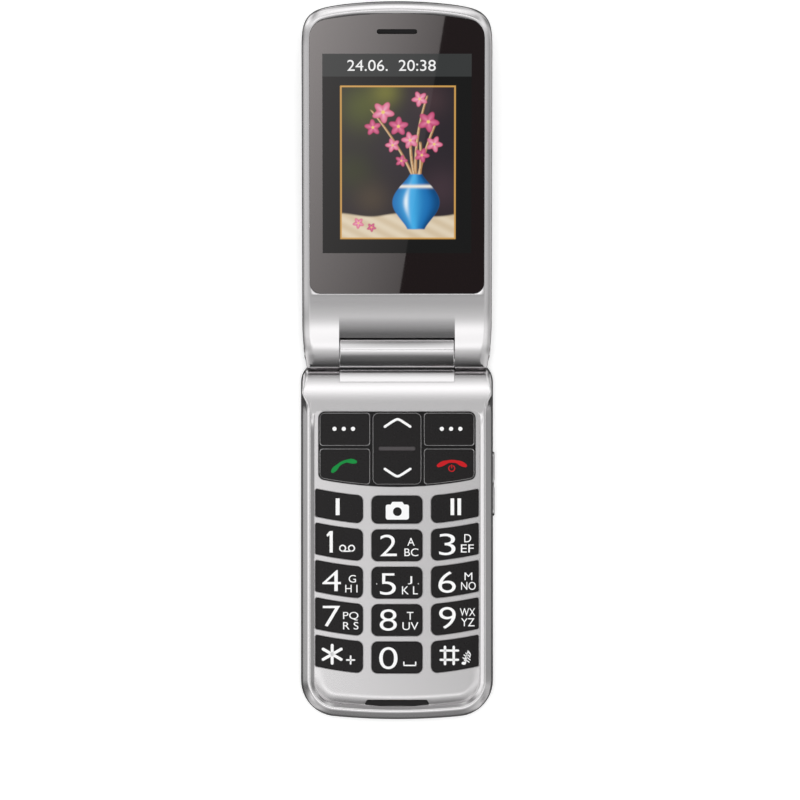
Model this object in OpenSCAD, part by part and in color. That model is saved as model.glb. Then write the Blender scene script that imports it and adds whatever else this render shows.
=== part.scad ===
/* [Overall] */
// Width of the base
base_w = 53; // [51:0.5:56]
// Length of the base from the hinge axis to its bottom tip
base_len = 101; // [100:0.5:106]
// Thickness of the base from its flat back to the ridge of its rim
base_t = 11.4; // [11.4:0.1:12.4]
// Width of the lid
lid_w = 52.2; // [51.6:0.2:53]
// Length of the lid from the hinge axis to its tip
lid_len = 99.6; // [98:0.2:102]
// Thickness of the lid from its inner face to its back
lid_t = 8; // [8:0.1:9]
// Gap between the base and the lid when the phone is shut
shut_gap = 0.4; // [0.3:0.05:0.6]
// Angle that the lid leans up when the phone is fully open
open_tilt = 15; // [10:1:20]

/* [Outline] */
// Radius of the bow at the bottom of the base
base_bow_r = 114; // [100:1:130]
// Radius of the bottom corners of the base
base_corner_r = 9; // [8:0.5:11]
// Radius of the base's corners beside the hinge
base_near_r = 8.2; // [7:0.2:9]
// Radius of the bow at the top of the lid
lid_bow_r = 117; // [105:1:130]
// Radius of the top corners of the lid
lid_corner_r = 7.2; // [6.8:0.2:9]
// Taper radius of the lid's sides beside the hinge
lid_taper_r = 67; // [55:1:80]

/* [Hinge] */
// Radius of the middle barrel
barrel_r = 4.4; // [4.3:0.05:4.6]
// Half of the middle barrel's length
barrel_half = 15.8; // [14.5:0.1:16.5]
// Radius of the lid's two arms
arm_r = 3.2; // [3:0.05:3.4]
// Height of the hinge axis over the lid's inner face
axis_rise = 1.0; // [0.8:0.05:1.2]
// Radius of the hinge pin and of the drive shaft
pin_r = 1.5; // [1.3:0.05:1.7]
// Running clearance round a pin
pin_gap = 0.05; // [0.03:0.01:0.08]
// Clearance at the ends of the barrel
end_gap = 0.15; // [0.1:0.05:0.3]
// Clearance between the barrel and the lid's notch
notch_gap = 0.35; // [0.3:0.05:0.5]

/* [Rims] */
// Width of the base's rim from its side to the keypad plate
base_rim = 3.6; // [3.4:0.1:4]
// Width of the lid's rim at its sides
lid_rim = 2.2; // [2:0.1:2.6]
// Width of the lid's rim at its top
lid_top_rim = 3.4; // [3:0.1:4]
// Thickness of the housings' walls
wall = 1.4; // [1.2:0.1:1.6]
// Depth of the display window below the lid's rim
window_sink = 0.25; // [0.15:0.05:0.35]
// Thickness of the display window
window_t = 0.9; // [0.7:0.1:1]

/* [Keypad] */
// Depth of the keypad plate below the rim's ridge, at the middle
plate_sink = 0.35; // [0.25:0.05:0.45]
// Thickness of the keypad plate
plate_t = 1.2; // [1.1:0.05:1.3]
// Radius of the crown across the keypad plate
crown_r = 330; // [300:10:500]
// Height of the keys over the plate
key_proud = 0.45; // [0.35:0.05:0.5]
// Travel of a key
key_travel = 0.4; // [0.3:0.05:0.4]
// Clearance round a key
key_gap = 0.15; // [0.12:0.01:0.2]
// Half width of the middle column of keys
mid_key_half = 7.05; // [6.8:0.05:7.2]
// Inner edge of the side columns of keys
side_key_in = 9.4; // [9.2:0.05:9.6]
// Gap between the side columns of keys and the base's rim
key_rim_gap = 0.3; // [0.2:0.05:0.6]
// Distance of the first number row below the hinge axis
first_row = 48.6; // [48.4:0.1:49]
// Width of the bar between two rows of number keys
key_bar = 1.6; // [1.5:0.05:1.9]
// Distance from the last row of keys to the base's bottom tip
keypad_foot = 12.72; // [12.4:0.04:13.2]
// Distance of the memory row below the hinge axis
memory_row = 39.25; // [39:0.05:39.5]
// Length of a key of the memory row
memory_len = 7.7; // [7.4:0.05:7.8]
// Radius of the bow of the key rows
row_bow_r = 108.5; // [100:0.5:120]

/* [Function panel] */
// Width of the plate's edge beside the function panel
panel_side = 1.2; // [1:0.05:1.5]
// Top of the function panel below the hinge axis
panel_top = 16.05; // [16:0.05:16.3]
// Bottom of the function panel below the hinge axis
panel_bottom = 36.8; // [36.4:0.05:36.9]
// Half width of the navigation key
nav_half = 6.55; // [6.3:0.05:6.6]
// Inner edge of the soft, call and end keys
soft_in = 7.6; // [7.4:0.05:7.7]
// Bottom of the soft keys below the hinge axis
soft_bottom = 25.3; // [25.1:0.05:25.5]
// Top of the call and end keys below the hinge axis
call_top = 26.45; // [26.3:0.05:26.6]
// Visible margin of the panel round its keys
panel_margin = 0.5; // [0.4:0.05:0.6]
// Height of the panel over the plate
panel_proud = 0.15; // [0.1:0.05:0.2]

/* [Inner parts] */
// Thickness of the battery cover
cover_t = 1.25; // [1.1:0.05:1.3]
// Distance of the battery cover's upper edge below the hinge axis
cover_top = 22.6; // [21:0.1:24]
// Width of the battery
battery_w = 34; // [32:0.5:34]
// Distance from the battery to the base's bottom tip
battery_foot = 11; // [11:0.1:12]
// Thickness of the battery
battery_t = 4.2; // [4:0.1:4.2]
// Thickness of the main board
board_t = 0.8; // [0.7:0.05:0.9]
// Width of the display module
display_w = 43.8; // [42:0.2:44]
// Distance from the display module to the lid's tip
display_top = 12.3; // [12:0.1:14]
// Thickness of the display module
display_t = 2.7; // [2.4:0.1:2.8]

/* [Hidden] */
$fn = 48;

// Places: the hinge axis lies across the phone, and the flat back of the base is at z = 0
axis_y = base_len / 2;
axis_z = base_t + shut_gap + axis_rise;
base_half = base_w / 2;
lid_half = lid_w / 2;
split_z = 6.4;
far = 200;

// Rounding of the base's edges: [inset from the outline, height], from the back up and from the split up
back_round = [[2.9, 0], [1.6, 0.35], [0.75, cover_t], [0.25, 2.4], [0, 4]];
rim_round = [[0, base_t - 3.6], [0.12, base_t - 2.4], [0.45, base_t - 1.4], [1.9, base_t - 0.2],
    [2.3, base_t]];
rim_ridge = 2.7;
base_near = 2.2;
shoulder = [9.0, 5.6];
ramp_top = 12.9;
ramp_foot = 15.4;

// Rounding of the lid's edges: [inset, height over the axis, share of the chin's rise]
split_w = -3.3;
lid_back = axis_rise - lid_t;
lid_round = [[0, split_w, 0], [0, axis_rise - 1.9, 0], [0.12, axis_rise - 0.9, 1],
    [0.45, axis_rise - 0.35, 1], [1, axis_rise - 0.05, 1], [1.6, axis_rise, 1]];
lid_back_round = [[2.9, lid_back], [1.4, lid_back + 0.4], [0.5, lid_back + 1.4], [0.1, lid_back + 2.6],
    [0, split_w]];
lid_near = -3.6;
taper_start = 9;
chin_start = 15;
chin_angle = 25;
lid_end = -0.4;
roll_start = 10.6;
roll_r = 6;

// Plan of the keypad
side_key_out = base_half - base_rim - key_rim_gap;
panel_half = base_half - base_rim - panel_side;
row_pitch = (base_len - keypad_foot - first_row + key_bar) / 4;
key_len = row_pitch - key_bar;
nav_middle = (panel_top + panel_bottom) / 2 - 0.15;
nav_dome_reach = 7.25;

// Heights of the keypad's stack
plate_top = base_t - plate_sink;
plate_low = plate_top - plate_t;
roof_low = base_t - 1.6;
flange_gap = 0.1;
flange_side = 0.6;
panel_flange = 0.45;
crown_drop = crown_r - sqrt(crown_r * crown_r - pow(side_key_out + flange_side, 2));
flange_bottom = plate_low - flange_gap - crown_drop - 0.7;
board_top = flange_bottom - key_travel - 0.5;
board_bottom = board_top - board_t;
dome_t = 0.25;
film_t = 0.1;
plate_inset = 2.3;
pocket_depth = 0.65;
glue_gap = 0.03;
key_corner = 1.7;
key_outer_corner = 0.5;

// Nav key's pivot: a round rib that lies on the board, on the axis of its tilt
nav_pivot_z = 9.4;
nav_pivot_r = nav_pivot_z - board_top - film_t - 0.05;

// SIM holder and battery bay
sim_near = 26;
sim_far = 35;
sim_half = 8;
bay_roof = board_bottom - 0.2;
bay_half = battery_w / 2 + 0.3;
bay_near = cover_top + 2.4;
battery_near = sim_far + 1;
battery_far = base_len - battery_foot;
battery_z = bay_roof - 0.6 - 0.1 - battery_t;
tongue_x = bay_half - 3.3;
tongue_half = 3;

// Display window
window_half = lid_half - lid_rim + 0.05;
window_near = 17.3;
window_top = axis_rise - window_sink;
window_low = window_top - window_t;
display_near = 26.3;
display_far = lid_len - display_top;
ledge_gap = 0.3;
slot_u = lid_len - 8.5;
slot_half = 5.55;
slot_h = 1.36;
earpiece_half = slot_half + 0.65;

// Side rocker, SOS button and sockets
rocker_far = 36;
rocker_half = 8.85;
rocker_h = 3.2;
rocker_proud = 0.45;
rocker_pin_r = 0.6;
rocker_pin_x = base_half - 1.2;
sos_far = 15.6;
sos_r = 5;
sos_rim = 0.9;
sos_travel = 0.5;
near_screws = [base_half - 5.9, 11];
far_screws = [base_half - 10, base_len - 7.8];
screw_r = 0.8;
screw_head_r = 1.5;
screw_head_t = 0.8;
screw_low = cover_t + 0.1;
screw_tip = split_z + 2.6;
boss_r = 1.7;
room_half = base_half - 8.5;
speaker = [sos_r + sos_rim + 0.5, room_half - 0.4, 10.2, 20.6];
speaker_t = 2.6;
motor_far = 18.4;
motor_r = 1.98;
usb_far = 30;
usb_half = 3.8;
usb_low = board_bottom - 2.75;
can_t = 2.2;
antenna_side = 14;
antenna_half = base_half - antenna_side;
channel_foot = 17;

// Hinge: the cam cartridge, the end caps and the flex
cam_r = 2.9;
cap_r = arm_r - 0.9;
cap_out = lid_half - 0.75;
cap_in = lid_half - 1.9;
pin_out = lid_half - 3.2;
shaft_in = barrel_half - 8;
flex_room = 11;
flex_x = [5, 9];
flex_way = [4.4, 9.6];

// Back of the lid
lid_screw_x = lid_half - 7.1;
lid_screw_u = 7;
lens_u = lid_len - 14.6;
lens_r = 3.2;
led_x = 8.5;
outer_far = lens_u - 13;
outer_near = outer_far - 22;
outer_half = 15;
outer_t = 0.9;
lid_board_t = 0.6;
lid_board_half = lid_half - 6.1;
lid_room_near = 12;

function below(d) = axis_y - d;
function unit(v) = v / norm(v);
function short_turn(a) = a > 180 ? a - 360 : a < -180 ? a + 360 : a;
function arc_points(centre, r, from, to, n) =
    [for (i = [0 : n]) let (a = from + (to - from) * i / n) centre + r * [cos(a), sin(a)]];
function oval_points(centre, rx, ry, from, to, n) =
    [for (i = [0 : n]) let (a = from + (to - from) * i / n) centre + [rx * cos(a), ry * sin(a)]];

// One corner of a polygon, turned to an arc of radius r that touches both of its sides
function corner_arc(p, to_a, to_b, r, n) =
    let (half = acos(max(-1, min(1, to_a * to_b))) / 2, reach = r / tan(half),
        centre = p + unit(to_a + to_b) * r / sin(half),
        start = p + to_a * reach - centre, end = p + to_b * reach - centre,
        a0 = atan2(start[1], start[0]), turn = short_turn(atan2(end[1], end[0]) - a0))
    [for (i = [0 : n]) centre + r * [cos(a0 + turn * i / n), sin(a0 + turn * i / n)]];

// A polygon with each corner rounded to its own radius
function rounded(points, radii, n = 5) =
    let (count = len(points))
    [for (i = [0 : count - 1])
        let (p = points[i], a = points[(i + count - 1) % count], b = points[(i + 1) % count])
        each radii[i] <= 0 ? [p] : corner_arc(p, unit(a - p), unit(b - p), radii[i], n)];

// The far end of a slab: straight sides, tight corners and a shallow bow that touches them
function bowed_end(half, tip, bow_r, corner_r, n = 6) =
    let (cx = half - corner_r, reach = bow_r - corner_r,
        cy = tip - bow_r + sqrt(reach * reach - cx * cx), a = asin(cx / reach), bow_n = 2 * n)
    concat(arc_points([cx, cy], corner_r, 0, 90 - a, n),
        [for (i = [1 : bow_n - 1]) [0, tip - bow_r] + bow_r * [sin(a - 2 * a * i / bow_n),
            cos(a - 2 * a * i / bow_n)]],
        arc_points([-cx, cy], corner_r, 90 + a, 180, n));

// The base's outline, drawn in at an inset, with x across and the distance from the hinge axis
function base_outline(inset, near = base_near, near_r = base_near_r, n = 6) =
    let (half = base_half - inset, start = near, r = max(0.3, near_r))
    concat(arc_points([half - r, start + r], r, 270, 360, n),
        bowed_end(half, base_len - inset, base_bow_r - inset, base_corner_r - inset),
        arc_points([-half + r, start + r], r, 180, 270, n));
// An outline as a ring of points at a height, turned round so that its bow points down the phone
function base_ring(points, z) = [for (p = points) [-p[0], below(p[1]), z]];

// Where the chin's curve runs on to the round arms, its rise there and its power
arm_join = arm_r * [sin(chin_angle), cos(chin_angle)];
join_rise = arm_join[1] - axis_rise;
chin_power = tan(chin_angle) * (chin_start - arm_join[0]) / join_rise;

// The lid's outline: the far end, and sides that taper in beside the hinge
function taper(u) = u < taper_start ? pow(taper_start - u, 2) / (2 * lid_taper_r) : 0;
function arm_widening(u) = u < 5 ? 1 + 0.28 * (5 - u) : 1;
side_stations = [lid_near, -1.8, 0, arm_join[0] / 2, arm_join[0], 2.7, 4, 5.5, 7, 9, 11, 13, chin_start];
function lid_outline(inset) =
    concat([for (u = side_stations) [lid_half - taper(u) - inset * arm_widening(u), u]],
        bowed_end(lid_half - inset, lid_len - inset, lid_bow_r - inset, lid_corner_r - inset),
        [for (i = [len(side_stations) - 1 : -1 : 0]) let (u = side_stations[i])
            [-lid_half + taper(u) + inset * arm_widening(u), u]]);

// Rise of the chin over the lid's face
function chin_rise(u) =
    u <= 0 ? arm_r - axis_rise
    : u < arm_join[0] ? sqrt(arm_r * arm_r - u * u) - axis_rise
    : u < chin_start ? join_rise * pow((chin_start - u) / (chin_start - arm_join[0]), chin_power) : 0;
function lid_ring(inset, w, share) =
    [for (p = lid_outline(inset)) [p[0], p[1], w + share * chin_rise(p[1])]];

// A solid through rings of equal count, lowest ring first. Both caps are strips across, from side to side
module lofted(rings) {
    n = len(rings[0]);
    top = (len(rings) - 1) * n;
    half = floor(n / 2);
    sides = [for (k = [0 : len(rings) - 2], j = [0 : n - 1])
        let (a = k * n + j, b = k * n + (j + 1) % n) each [[a, a + n, b + n], [a, b + n, b]]];
    strips = [for (j = [0 : half - 1]) let (a = j, b = j + 1, c = n - 2 - j, d = n - 1 - j)
        each b == c ? [[a, b, d]] : b < c ? [[a, b, c], [a, c, d]] : []];
    polyhedron([for (ring = rings) each ring],
        concat(sides, strips, [for (f = strips) [f[2] + top, f[1] + top, f[0] + top]]));
}

// Frames to draw in
module in_lid() translate([0, axis_y, axis_z]) rotate([open_tilt, 0, 0]) children();
// A plan outline given as x and distance from the axis, raised between two heights of the base
module base_plan(points, low, high) translate([0, 0, low]) linear_extrude(high - low)
    polygon([for (p = points) [p[0], below(p[1])]]);
// A plan outline in the lid, raised between two heights over the hinge axis
module lid_plan(points, low, high) translate([0, 0, low]) linear_extrude(high - low) polygon(points);
// A side profile given as [distance from the axis, height], run across the base between two x
module base_side(points, x0, x1) translate([x0, 0, 0]) rotate([90, 0, 90]) linear_extrude(x1 - x0)
    polygon([for (p = points) [below(p[0]), p[1]]]);
module lid_side(points, x0, x1) translate([x0, 0, 0]) rotate([90, 0, 90]) linear_extrude(x1 - x0)
    polygon(points);
module across(r, x0, x1) translate([x0, 0, 0]) rotate([0, 90, 0]) cylinder(r = r, h = x1 - x0);
module base_box(x0, x1, d0, d1, z0, z1) translate([x0, below(d1), z0]) cube([x1 - x0, d1 - d0, z1 - z0]);
module lid_box(x0, x1, u0, u1, w0, w1) translate([x0, u0, w0]) cube([x1 - x0, u1 - u0, w1 - w0]);
function plan_rect(x0, x1, d0, d1, r) =
    rounded([[x0, d0], [x1, d0], [x1, d1], [x0, d1]], [r, r, r, r]);

// Everything under the crowned surface that is at this height at the middle of the keypad
module crown(z) translate([0, 0, z - crown_r]) rotate([90, 0, 0])
    cylinder(r = crown_r, h = 3 * base_len, center = true, $fn = 400);

// ---- keys ----
function row_bow(x) = (max(x * x, side_key_in * side_key_in) - side_key_in * side_key_in) / (2 * row_bow_r);
// Points of a bowed edge, left out near its ends, where the corners are rounded
function column_edge(x0, x1, d) =
    [for (share = [0, 0.26, 0.42, 0.58, 0.74, 1]) let (x = x0 + (x1 - x0) * share) [x, d - row_bow(x)]];
function row_top(row) = row < 0 ? memory_row : first_row + row * row_pitch;
function row_len(row) = row < 0 ? memory_len : key_len;
// Outline of a key between two x and two distances, with bowed ends, grown all round
function key_outline(x0, x1, top, bottom, r_in, r_out, grow) =
    let (a = column_edge(x0 - grow, x1 + grow, top - grow),
        b = column_edge(x1 + grow, x0 - grow, bottom + grow), n = len(a), none = [for (i = [3 : n]) 0])
    rounded(concat(a, b), concat([r_in + grow], none, [r_out + grow, r_out + grow], none, [r_in + grow]));
function mirrored(points, side) =
    side < 0 ? [for (i = [len(points) - 1 : -1 : 0]) [-points[i][0], points[i][1]]] : points;
// Column -1, 0 or 1 and row -1 for the memory row or 0 to 3
function grid_key(column, row, grow = 0) =
    let (top = row_top(row), bottom = top + row_len(row))
    column == 0 ? plan_rect(-mid_key_half - grow, mid_key_half + grow, top - grow, bottom + grow,
        key_corner + grow)
    : mirrored(key_outline(side_key_in, side_key_out, top, bottom, key_corner, key_outer_corner, grow),
        column);
// Side -1 or 1, and the soft key on top or the call or end key below it
function panel_key(side, lower, grow = 0) =
    let (x0 = soft_in - grow, x1 = panel_half - panel_margin + grow, top = panel_top + panel_margin - grow,
        low = panel_bottom - panel_margin + grow, n = 6)
    mirrored(lower
        ? rounded(concat([[x0, call_top - grow], [x1, call_top - grow]],
            [for (i = [0 : n]) let (x = x1 + (x0 - x1) * i / n) [x, low - x * x / (2 * row_bow_r)]]),
            concat([0.8, 0.8, 1.2], [for (i = [1 : n - 1]) 0], [0.8]))
        : rounded([[x0, top], [x1, top], [x1, soft_bottom + grow], [x0, soft_bottom + grow]],
            [0.8, 1.2, 0.8, 0.8]), side);
function nav_outline(grow = 0) =
    plan_rect(-nav_half - grow, nav_half + grow, panel_top + panel_margin - grow,
        panel_bottom - panel_margin - 0.3 + grow, 1.4 + grow);
function panel_outline(grow = 0) =
    let (half = panel_half + grow, top = panel_top - grow,
        low = [for (i = [0 : 12]) let (x = half - half * i / 6)
            [x, panel_bottom + grow - x * x / (2 * row_bow_r)]])
    rounded(concat([[-half, top], [half, top]], low),
        concat([1.8, 1.8, 1.8], [for (i = [1 : 11]) 0], [1.8]));
grid_places = [for (row = [-1 : 3], column = [-1 : 1]) [column, row]];
function key_middle(column, row) =
    let (x = column * (side_key_in + side_key_out) / 2)
    [x, row_top(row) + row_len(row) / 2 - row_bow(x)];
function panel_key_middle(side, lower) =
    [side * (soft_in + panel_half - panel_margin) / 2,
        lower ? (call_top + panel_bottom) / 2 - 0.7 : (panel_top + soft_bottom) / 2];

// One key: a cap that follows the crown, a flange under the plate and a plunger over its dome
module key_solid(cap, flange, place, proud) {
    union() {
        intersection() {
            base_plan(cap, flange_bottom + 0.3, base_t + 1);
            crown(plate_top + proud);
        }
        intersection() {
            base_plan(flange, flange_bottom, plate_top);
            crown(plate_low - flange_gap);
        }
        translate([place[0], below(place[1]), board_top + film_t + dome_t + key_travel])
            cylinder(r = 1.2, h = flange_bottom + 0.1 - board_top - film_t - dome_t - key_travel);
    }
}
module grid_solid(column, row) color([0.15, 0.14, 0.14])
    key_solid(grid_key(column, row), grid_key(column, row, flange_side), key_middle(column, row), key_proud);
module panel_solid(side, lower) color([0.15, 0.14, 0.14])
    key_solid(panel_key(side, lower), panel_key(side, lower, panel_flange), panel_key_middle(side, lower),
        panel_proud + 0.1);
module nav_rocker() {
    color([0.15, 0.14, 0.14]) union() {
        intersection() {
            base_plan(nav_outline(), flange_bottom + 0.3, base_t + 1);
            crown(plate_top + panel_proud + 0.1);
        }
        // Raised bar across the middle
        intersection() {
            base_plan(plan_rect(-nav_half + 1.45, nav_half - 1.45, nav_middle - 0.6, nav_middle + 0.6, 0.5),
                flange_bottom + 0.5, base_t + 1);
            crown(plate_top + panel_proud + 0.4);
        }
        // Pivot tabs under the plate
        intersection() {
            base_plan(plan_rect(-nav_half - panel_flange, nav_half + panel_flange, nav_middle - 1.2,
                nav_middle + 1.2, 0.3), flange_bottom, plate_top);
            crown(plate_low - flange_gap);
        }
        translate([0, below(nav_middle), nav_pivot_z]) across(nav_pivot_r, -nav_half + 1, nav_half - 1);
    }
}

// ---- base shells ----
module base_end_profile(x0, x1) base_side(concat(
    oval_points([shoulder[0], shoulder[1]], shoulder[0] - base_near, base_t - shoulder[1], 90, 180, 10),
    [for (i = [1 : 9]) let (a = 180 + 90 * i / 9) shoulder + [(shoulder[0] - base_near) * cos(a),
        shoulder[1] * sin(a)]], [[shoulder[0], -1], [far, -1], [far, base_t + 1], [shoulder[0], base_t + 1]]),
    x0, x1);

module base_front_frame() {
    rings = concat([base_ring(base_outline(0), split_z)], [for (r = rim_round)
        base_ring(base_outline(r[0]), r[1])]);
    color([0.75, 0.74, 0.75]) {
        front_shell(rings);
        screw_bosses(near_screws, roof_low + 0.2);
    }
}
// Two bosses that hang down to the main board and take the screws
module screw_bosses(place, top) for (side = [-1, 1]) translate([side * place[0], below(place[1]), board_top])
    difference() {
        translate([0, 0, 0.1]) cylinder(r = boss_r, h = top - board_top - 0.1);
        cylinder(r = screw_r, h = screw_tip + 0.2 - board_top);
    }
module front_shell(rings) {
    difference() {
        intersection() {
            lofted(rings);
            base_end_profile(-base_w, base_w);
        }
        // Opening over the keypad, bevelled inwards
        lofted([base_ring(base_outline(base_rim, ramp_foot, 1), split_z - 1),
            base_ring(base_outline(base_rim, ramp_foot, 1), base_t - 1.14),
            base_ring(base_outline(rim_ridge, ramp_top, 1), base_t + 0.05)]);
        // Pocket for the keypad plate and the room below it
        intersection() {
            base_plan(base_outline(plate_inset - glue_gap, ramp_top - glue_gap, 1), split_z - 1, base_t);
            crown(plate_top + glue_gap);
        }
        base_plan(base_outline(plate_inset - glue_gap, shoulder[0], 1), split_z - 1, roof_low);
        // Seat of the hinge barrel
        base_box(-barrel_half - 0.05, barrel_half + 0.05, -1, 7.85, split_z - 1, base_t + 1);
        // Way for the hinge flex
        base_box(flex_way[0], flex_way[1], 7, 10, split_z - 1, board_top + 0.9);
        rocker_cut();
        usb_cut();
    }
}
module keypad_plate() {
    color([0.79, 0.78, 0.79]) {
        plate_shell();
        screw_bosses(far_screws, plate_low - pow(far_screws[0] + boss_r, 2) / (2 * crown_r) + 0.1);
    }
}
module plate_shell() {
    difference() {
        intersection() {
            base_plan(base_outline(plate_inset, ramp_top, 1), split_z, base_t);
            crown(plate_top);
        }
        crown(plate_low);
        // Pocket for the function panel
        difference() {
            base_plan(panel_outline(glue_gap), split_z, base_t);
            crown(plate_top - pocket_depth);
        }
        for (p = grid_places) base_plan(grid_key(p[0], p[1], key_gap), split_z, base_t);
        for (side = [-1, 1], lower = [false, true])
            base_plan(panel_key(side, lower, key_gap), split_z, base_t);
        base_plan(nav_outline(key_gap), split_z, base_t);
        notch_cut(0);
    }
}
// The dark notch at the bottom of the plate, over the microphone
function notch_outline(grow) =
    let (top = base_len - 5.35 - grow, low = base_len - 4.0 + grow)
    [[-8.2 - grow, top], [8.2 + grow, top], [9.25 + grow, low], [4.6, low + 0.35], [-4.6, low + 0.35],
        [-9.25 - grow, low]];
module notch_cut(grow) base_plan(notch_outline(grow), split_z, base_t);
module microphone_insert() {
    color([0.1, 0.09, 0.09]) difference() {
        intersection() {
            base_plan(notch_outline(-glue_gap), split_z, base_t);
            crown(plate_top - 0.5);
        }
        crown(plate_low);
        translate([0, below(base_len - 4.6), split_z]) cylinder(r = 0.5, h = base_t);
    }
}
module function_panel() {
    color([0.14, 0.12, 0.13]) difference() {
        intersection() {
            base_plan(panel_outline(), split_z, base_t);
            crown(plate_top + panel_proud);
        }
        crown(plate_top - pocket_depth + glue_gap);
        for (side = [-1, 1], lower = [false, true])
            base_plan(panel_key(side, lower, key_gap), split_z, base_t);
        base_plan(nav_outline(key_gap), split_z, base_t);
    }
}
module base_rear_housing() {
    floor_z = cover_t + 0.05;
    color([0.16, 0.16, 0.17]) difference() {
        intersection() {
            lofted(concat([for (r = back_round) base_ring(base_outline(r[0]), r[1])],
                [base_ring(base_outline(0), split_z)]));
            base_end_profile(-base_w, base_w);
        }
        // Room for the battery cover
        base_box(-base_w, base_w, cover_top - 0.1, base_len + 1, -1, floor_z);
        // Battery bay, open to the back, and the window of the SIM holder
        base_box(-bay_half, bay_half, bay_near, battery_far + 0.4, -1, bay_roof - 0.6);
        base_box(-sim_half - 0.5, sim_half + 0.5, sim_near - 0.5, sim_far + 0.5, 0, split_z);
        // Upper room for the boards, loudspeaker and motor, under the function panel
        base_box(-room_half, room_half, 9.5, cover_top - 0.6, wall, split_z + 1);
        // Room for the main board over the bay
        base_plan(base_outline(2.4, 9, 1), bay_roof, split_z + 1);
        // Side channels, and the bottom room for the antenna
        for (side = [0, 1]) mirror([side, 0, 0]) base_box(bay_half + 1, base_half - 2.4, cover_top + 3,
            base_len - channel_foot, floor_z + 1, split_z + 1);
        base_box(-antenna_half - 0.5, antenna_half + 0.5, battery_far + 1.6, base_len - 4.4, floor_z + 1,
            split_z + 1);
        // Slots of the cover's tongues, open to the bay
        for (x = [-tongue_x, tongue_x]) base_box(x - tongue_half - 0.2, x + tongue_half + 0.2, cover_top - 2,
            bay_near + 0.1, floor_z - 0.3, floor_z + 1);
        // Grille of the loudspeaker
        for (i = [-2 : 2]) translate([(speaker[0] + speaker[1]) / 2 + i * 1.7,
            below((speaker[2] + speaker[3]) / 2), -1]) rounded_slot(0.8, 5, wall + 2);
        // SOS button, screws and sockets
        translate([0, below(sos_far), -1]) cylinder(r = sos_r + key_gap, h = wall + 2);
        housing_screw_places() translate([0, 0, -1]) {
            cylinder(r = screw_r + 0.05, h = split_z + 2);
            cylinder(r = screw_head_r + 0.1, h = 1 + screw_low + screw_head_t + 0.05);
        }
        rocker_cut();
        usb_cut();
        for (x = [-5, 5]) base_box(x - 1.6, x + 1.6, base_len - 1.4, base_len + 1, 3.2, 4.6);
    }
}
module rounded_slot(w, len, h) {
    translate([-w / 2, -len / 2, 0]) cube([w, len, h]);
    for (s = [-1, 1]) translate([0, s * len / 2, 0]) cylinder(r = w / 2, h = h);
}
module housing_screw_places() for (side = [-1, 1], place = [near_screws, far_screws])
    translate([side * place[0], below(place[1]), 0]) children();
module rocker_cut() {
    base_box(base_half - 2.6, base_half + 1, rocker_far - rocker_half - key_gap,
        rocker_far + rocker_half + key_gap, split_z - rocker_h / 2 - key_gap, split_z + rocker_h / 2 + key_gap);
    rocker_pin(rocker_pin_r + pin_gap, 0.75);
}
module rocker_pin(r, reach) translate([rocker_pin_x, below(rocker_far), split_z - rocker_h / 2 - reach])
    cylinder(r = r, h = rocker_h + 2 * reach);
module usb_cut() base_box(-base_half - 1, -base_half + 6.2, usb_far - usb_half - 0.2,
    usb_far + usb_half + 0.2, usb_low - 0.1, board_bottom + 0.05);

module battery_cover() {
    color([0.17, 0.17, 0.18]) union() {
        intersection() {
            lofted([for (i = [0 : 2]) base_ring(base_outline(back_round[i][0]), back_round[i][1])]);
            base_box(-base_w, base_w, cover_top, base_len + 1, -1, cover_t + 1);
        }
        // Tongues that hook over the housing's edge
        for (x = [-tongue_x, tongue_x]) {
            base_box(x - tongue_half, x + tongue_half, cover_top - 1.6, cover_top + 2, cover_t + 0.1,
                cover_t + 0.9);
            base_box(x - tongue_half, x + tongue_half, cover_top + 0.2, cover_top + 2, cover_t - 0.2,
                cover_t + 0.9);
        }
    }
}
module battery() {
    color([0.22, 0.24, 0.3]) base_plan(plan_rect(-battery_w / 2, battery_w / 2, battery_near,
        battery_far, 2), battery_z, battery_z + battery_t);
}
module main_board() {
    color([0.1, 0.4, 0.22]) difference() {
        union() {
            base_plan(base_outline(3.0, 10, 2), board_bottom, board_top);
            // Side switches behind the rocker
            for (d = [-6, 6]) base_box(base_half - 4.6, base_half - 2.75, rocker_far + d - 1.5,
                rocker_far + d + 1.5, board_bottom + 0.1, board_top);
            // Switch over the SOS button
            base_box(-2, 2, sos_far - 2, sos_far + 2, board_bottom - 0.8, board_top - 0.1);
        }
        housing_screw_places() cylinder(r = boss_r + 0.3, h = far);
    }
}
module shield_cans() {
    color([0.75, 0.76, 0.78]) {
        base_box(-room_half + 1, -sos_r - 3, speaker[2] + 0.3, motor_far - 2.4, board_bottom - can_t,
            board_bottom);
        base_box(speaker[0], speaker[1], speaker[2] + 0.3, speaker[3] - 0.1, board_bottom - can_t,
            board_bottom);
    }
}
module dome_sheet() {
    color([0.8, 0.8, 0.75]) union() {
        difference() {
            base_plan(base_outline(3.6, ramp_foot, 1), board_top, board_top + film_t);
            housing_screw_places() cylinder(r = boss_r + 0.3, h = far);
            base_box(-2.4, 2.4, base_len - 8.4, base_len, board_top, base_t);
        }
        for (p = grid_places) dome(key_middle(p[0], p[1]));
        for (side = [-1, 1], lower = [false, true]) dome(panel_key_middle(side, lower));
        for (side = [-1, 1]) dome([0, nav_middle + side * nav_dome_reach]);
    }
}
module dome(place) translate([place[0], below(place[1]), board_top])
    cylinder(r = 2, h = film_t + dome_t);

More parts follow.
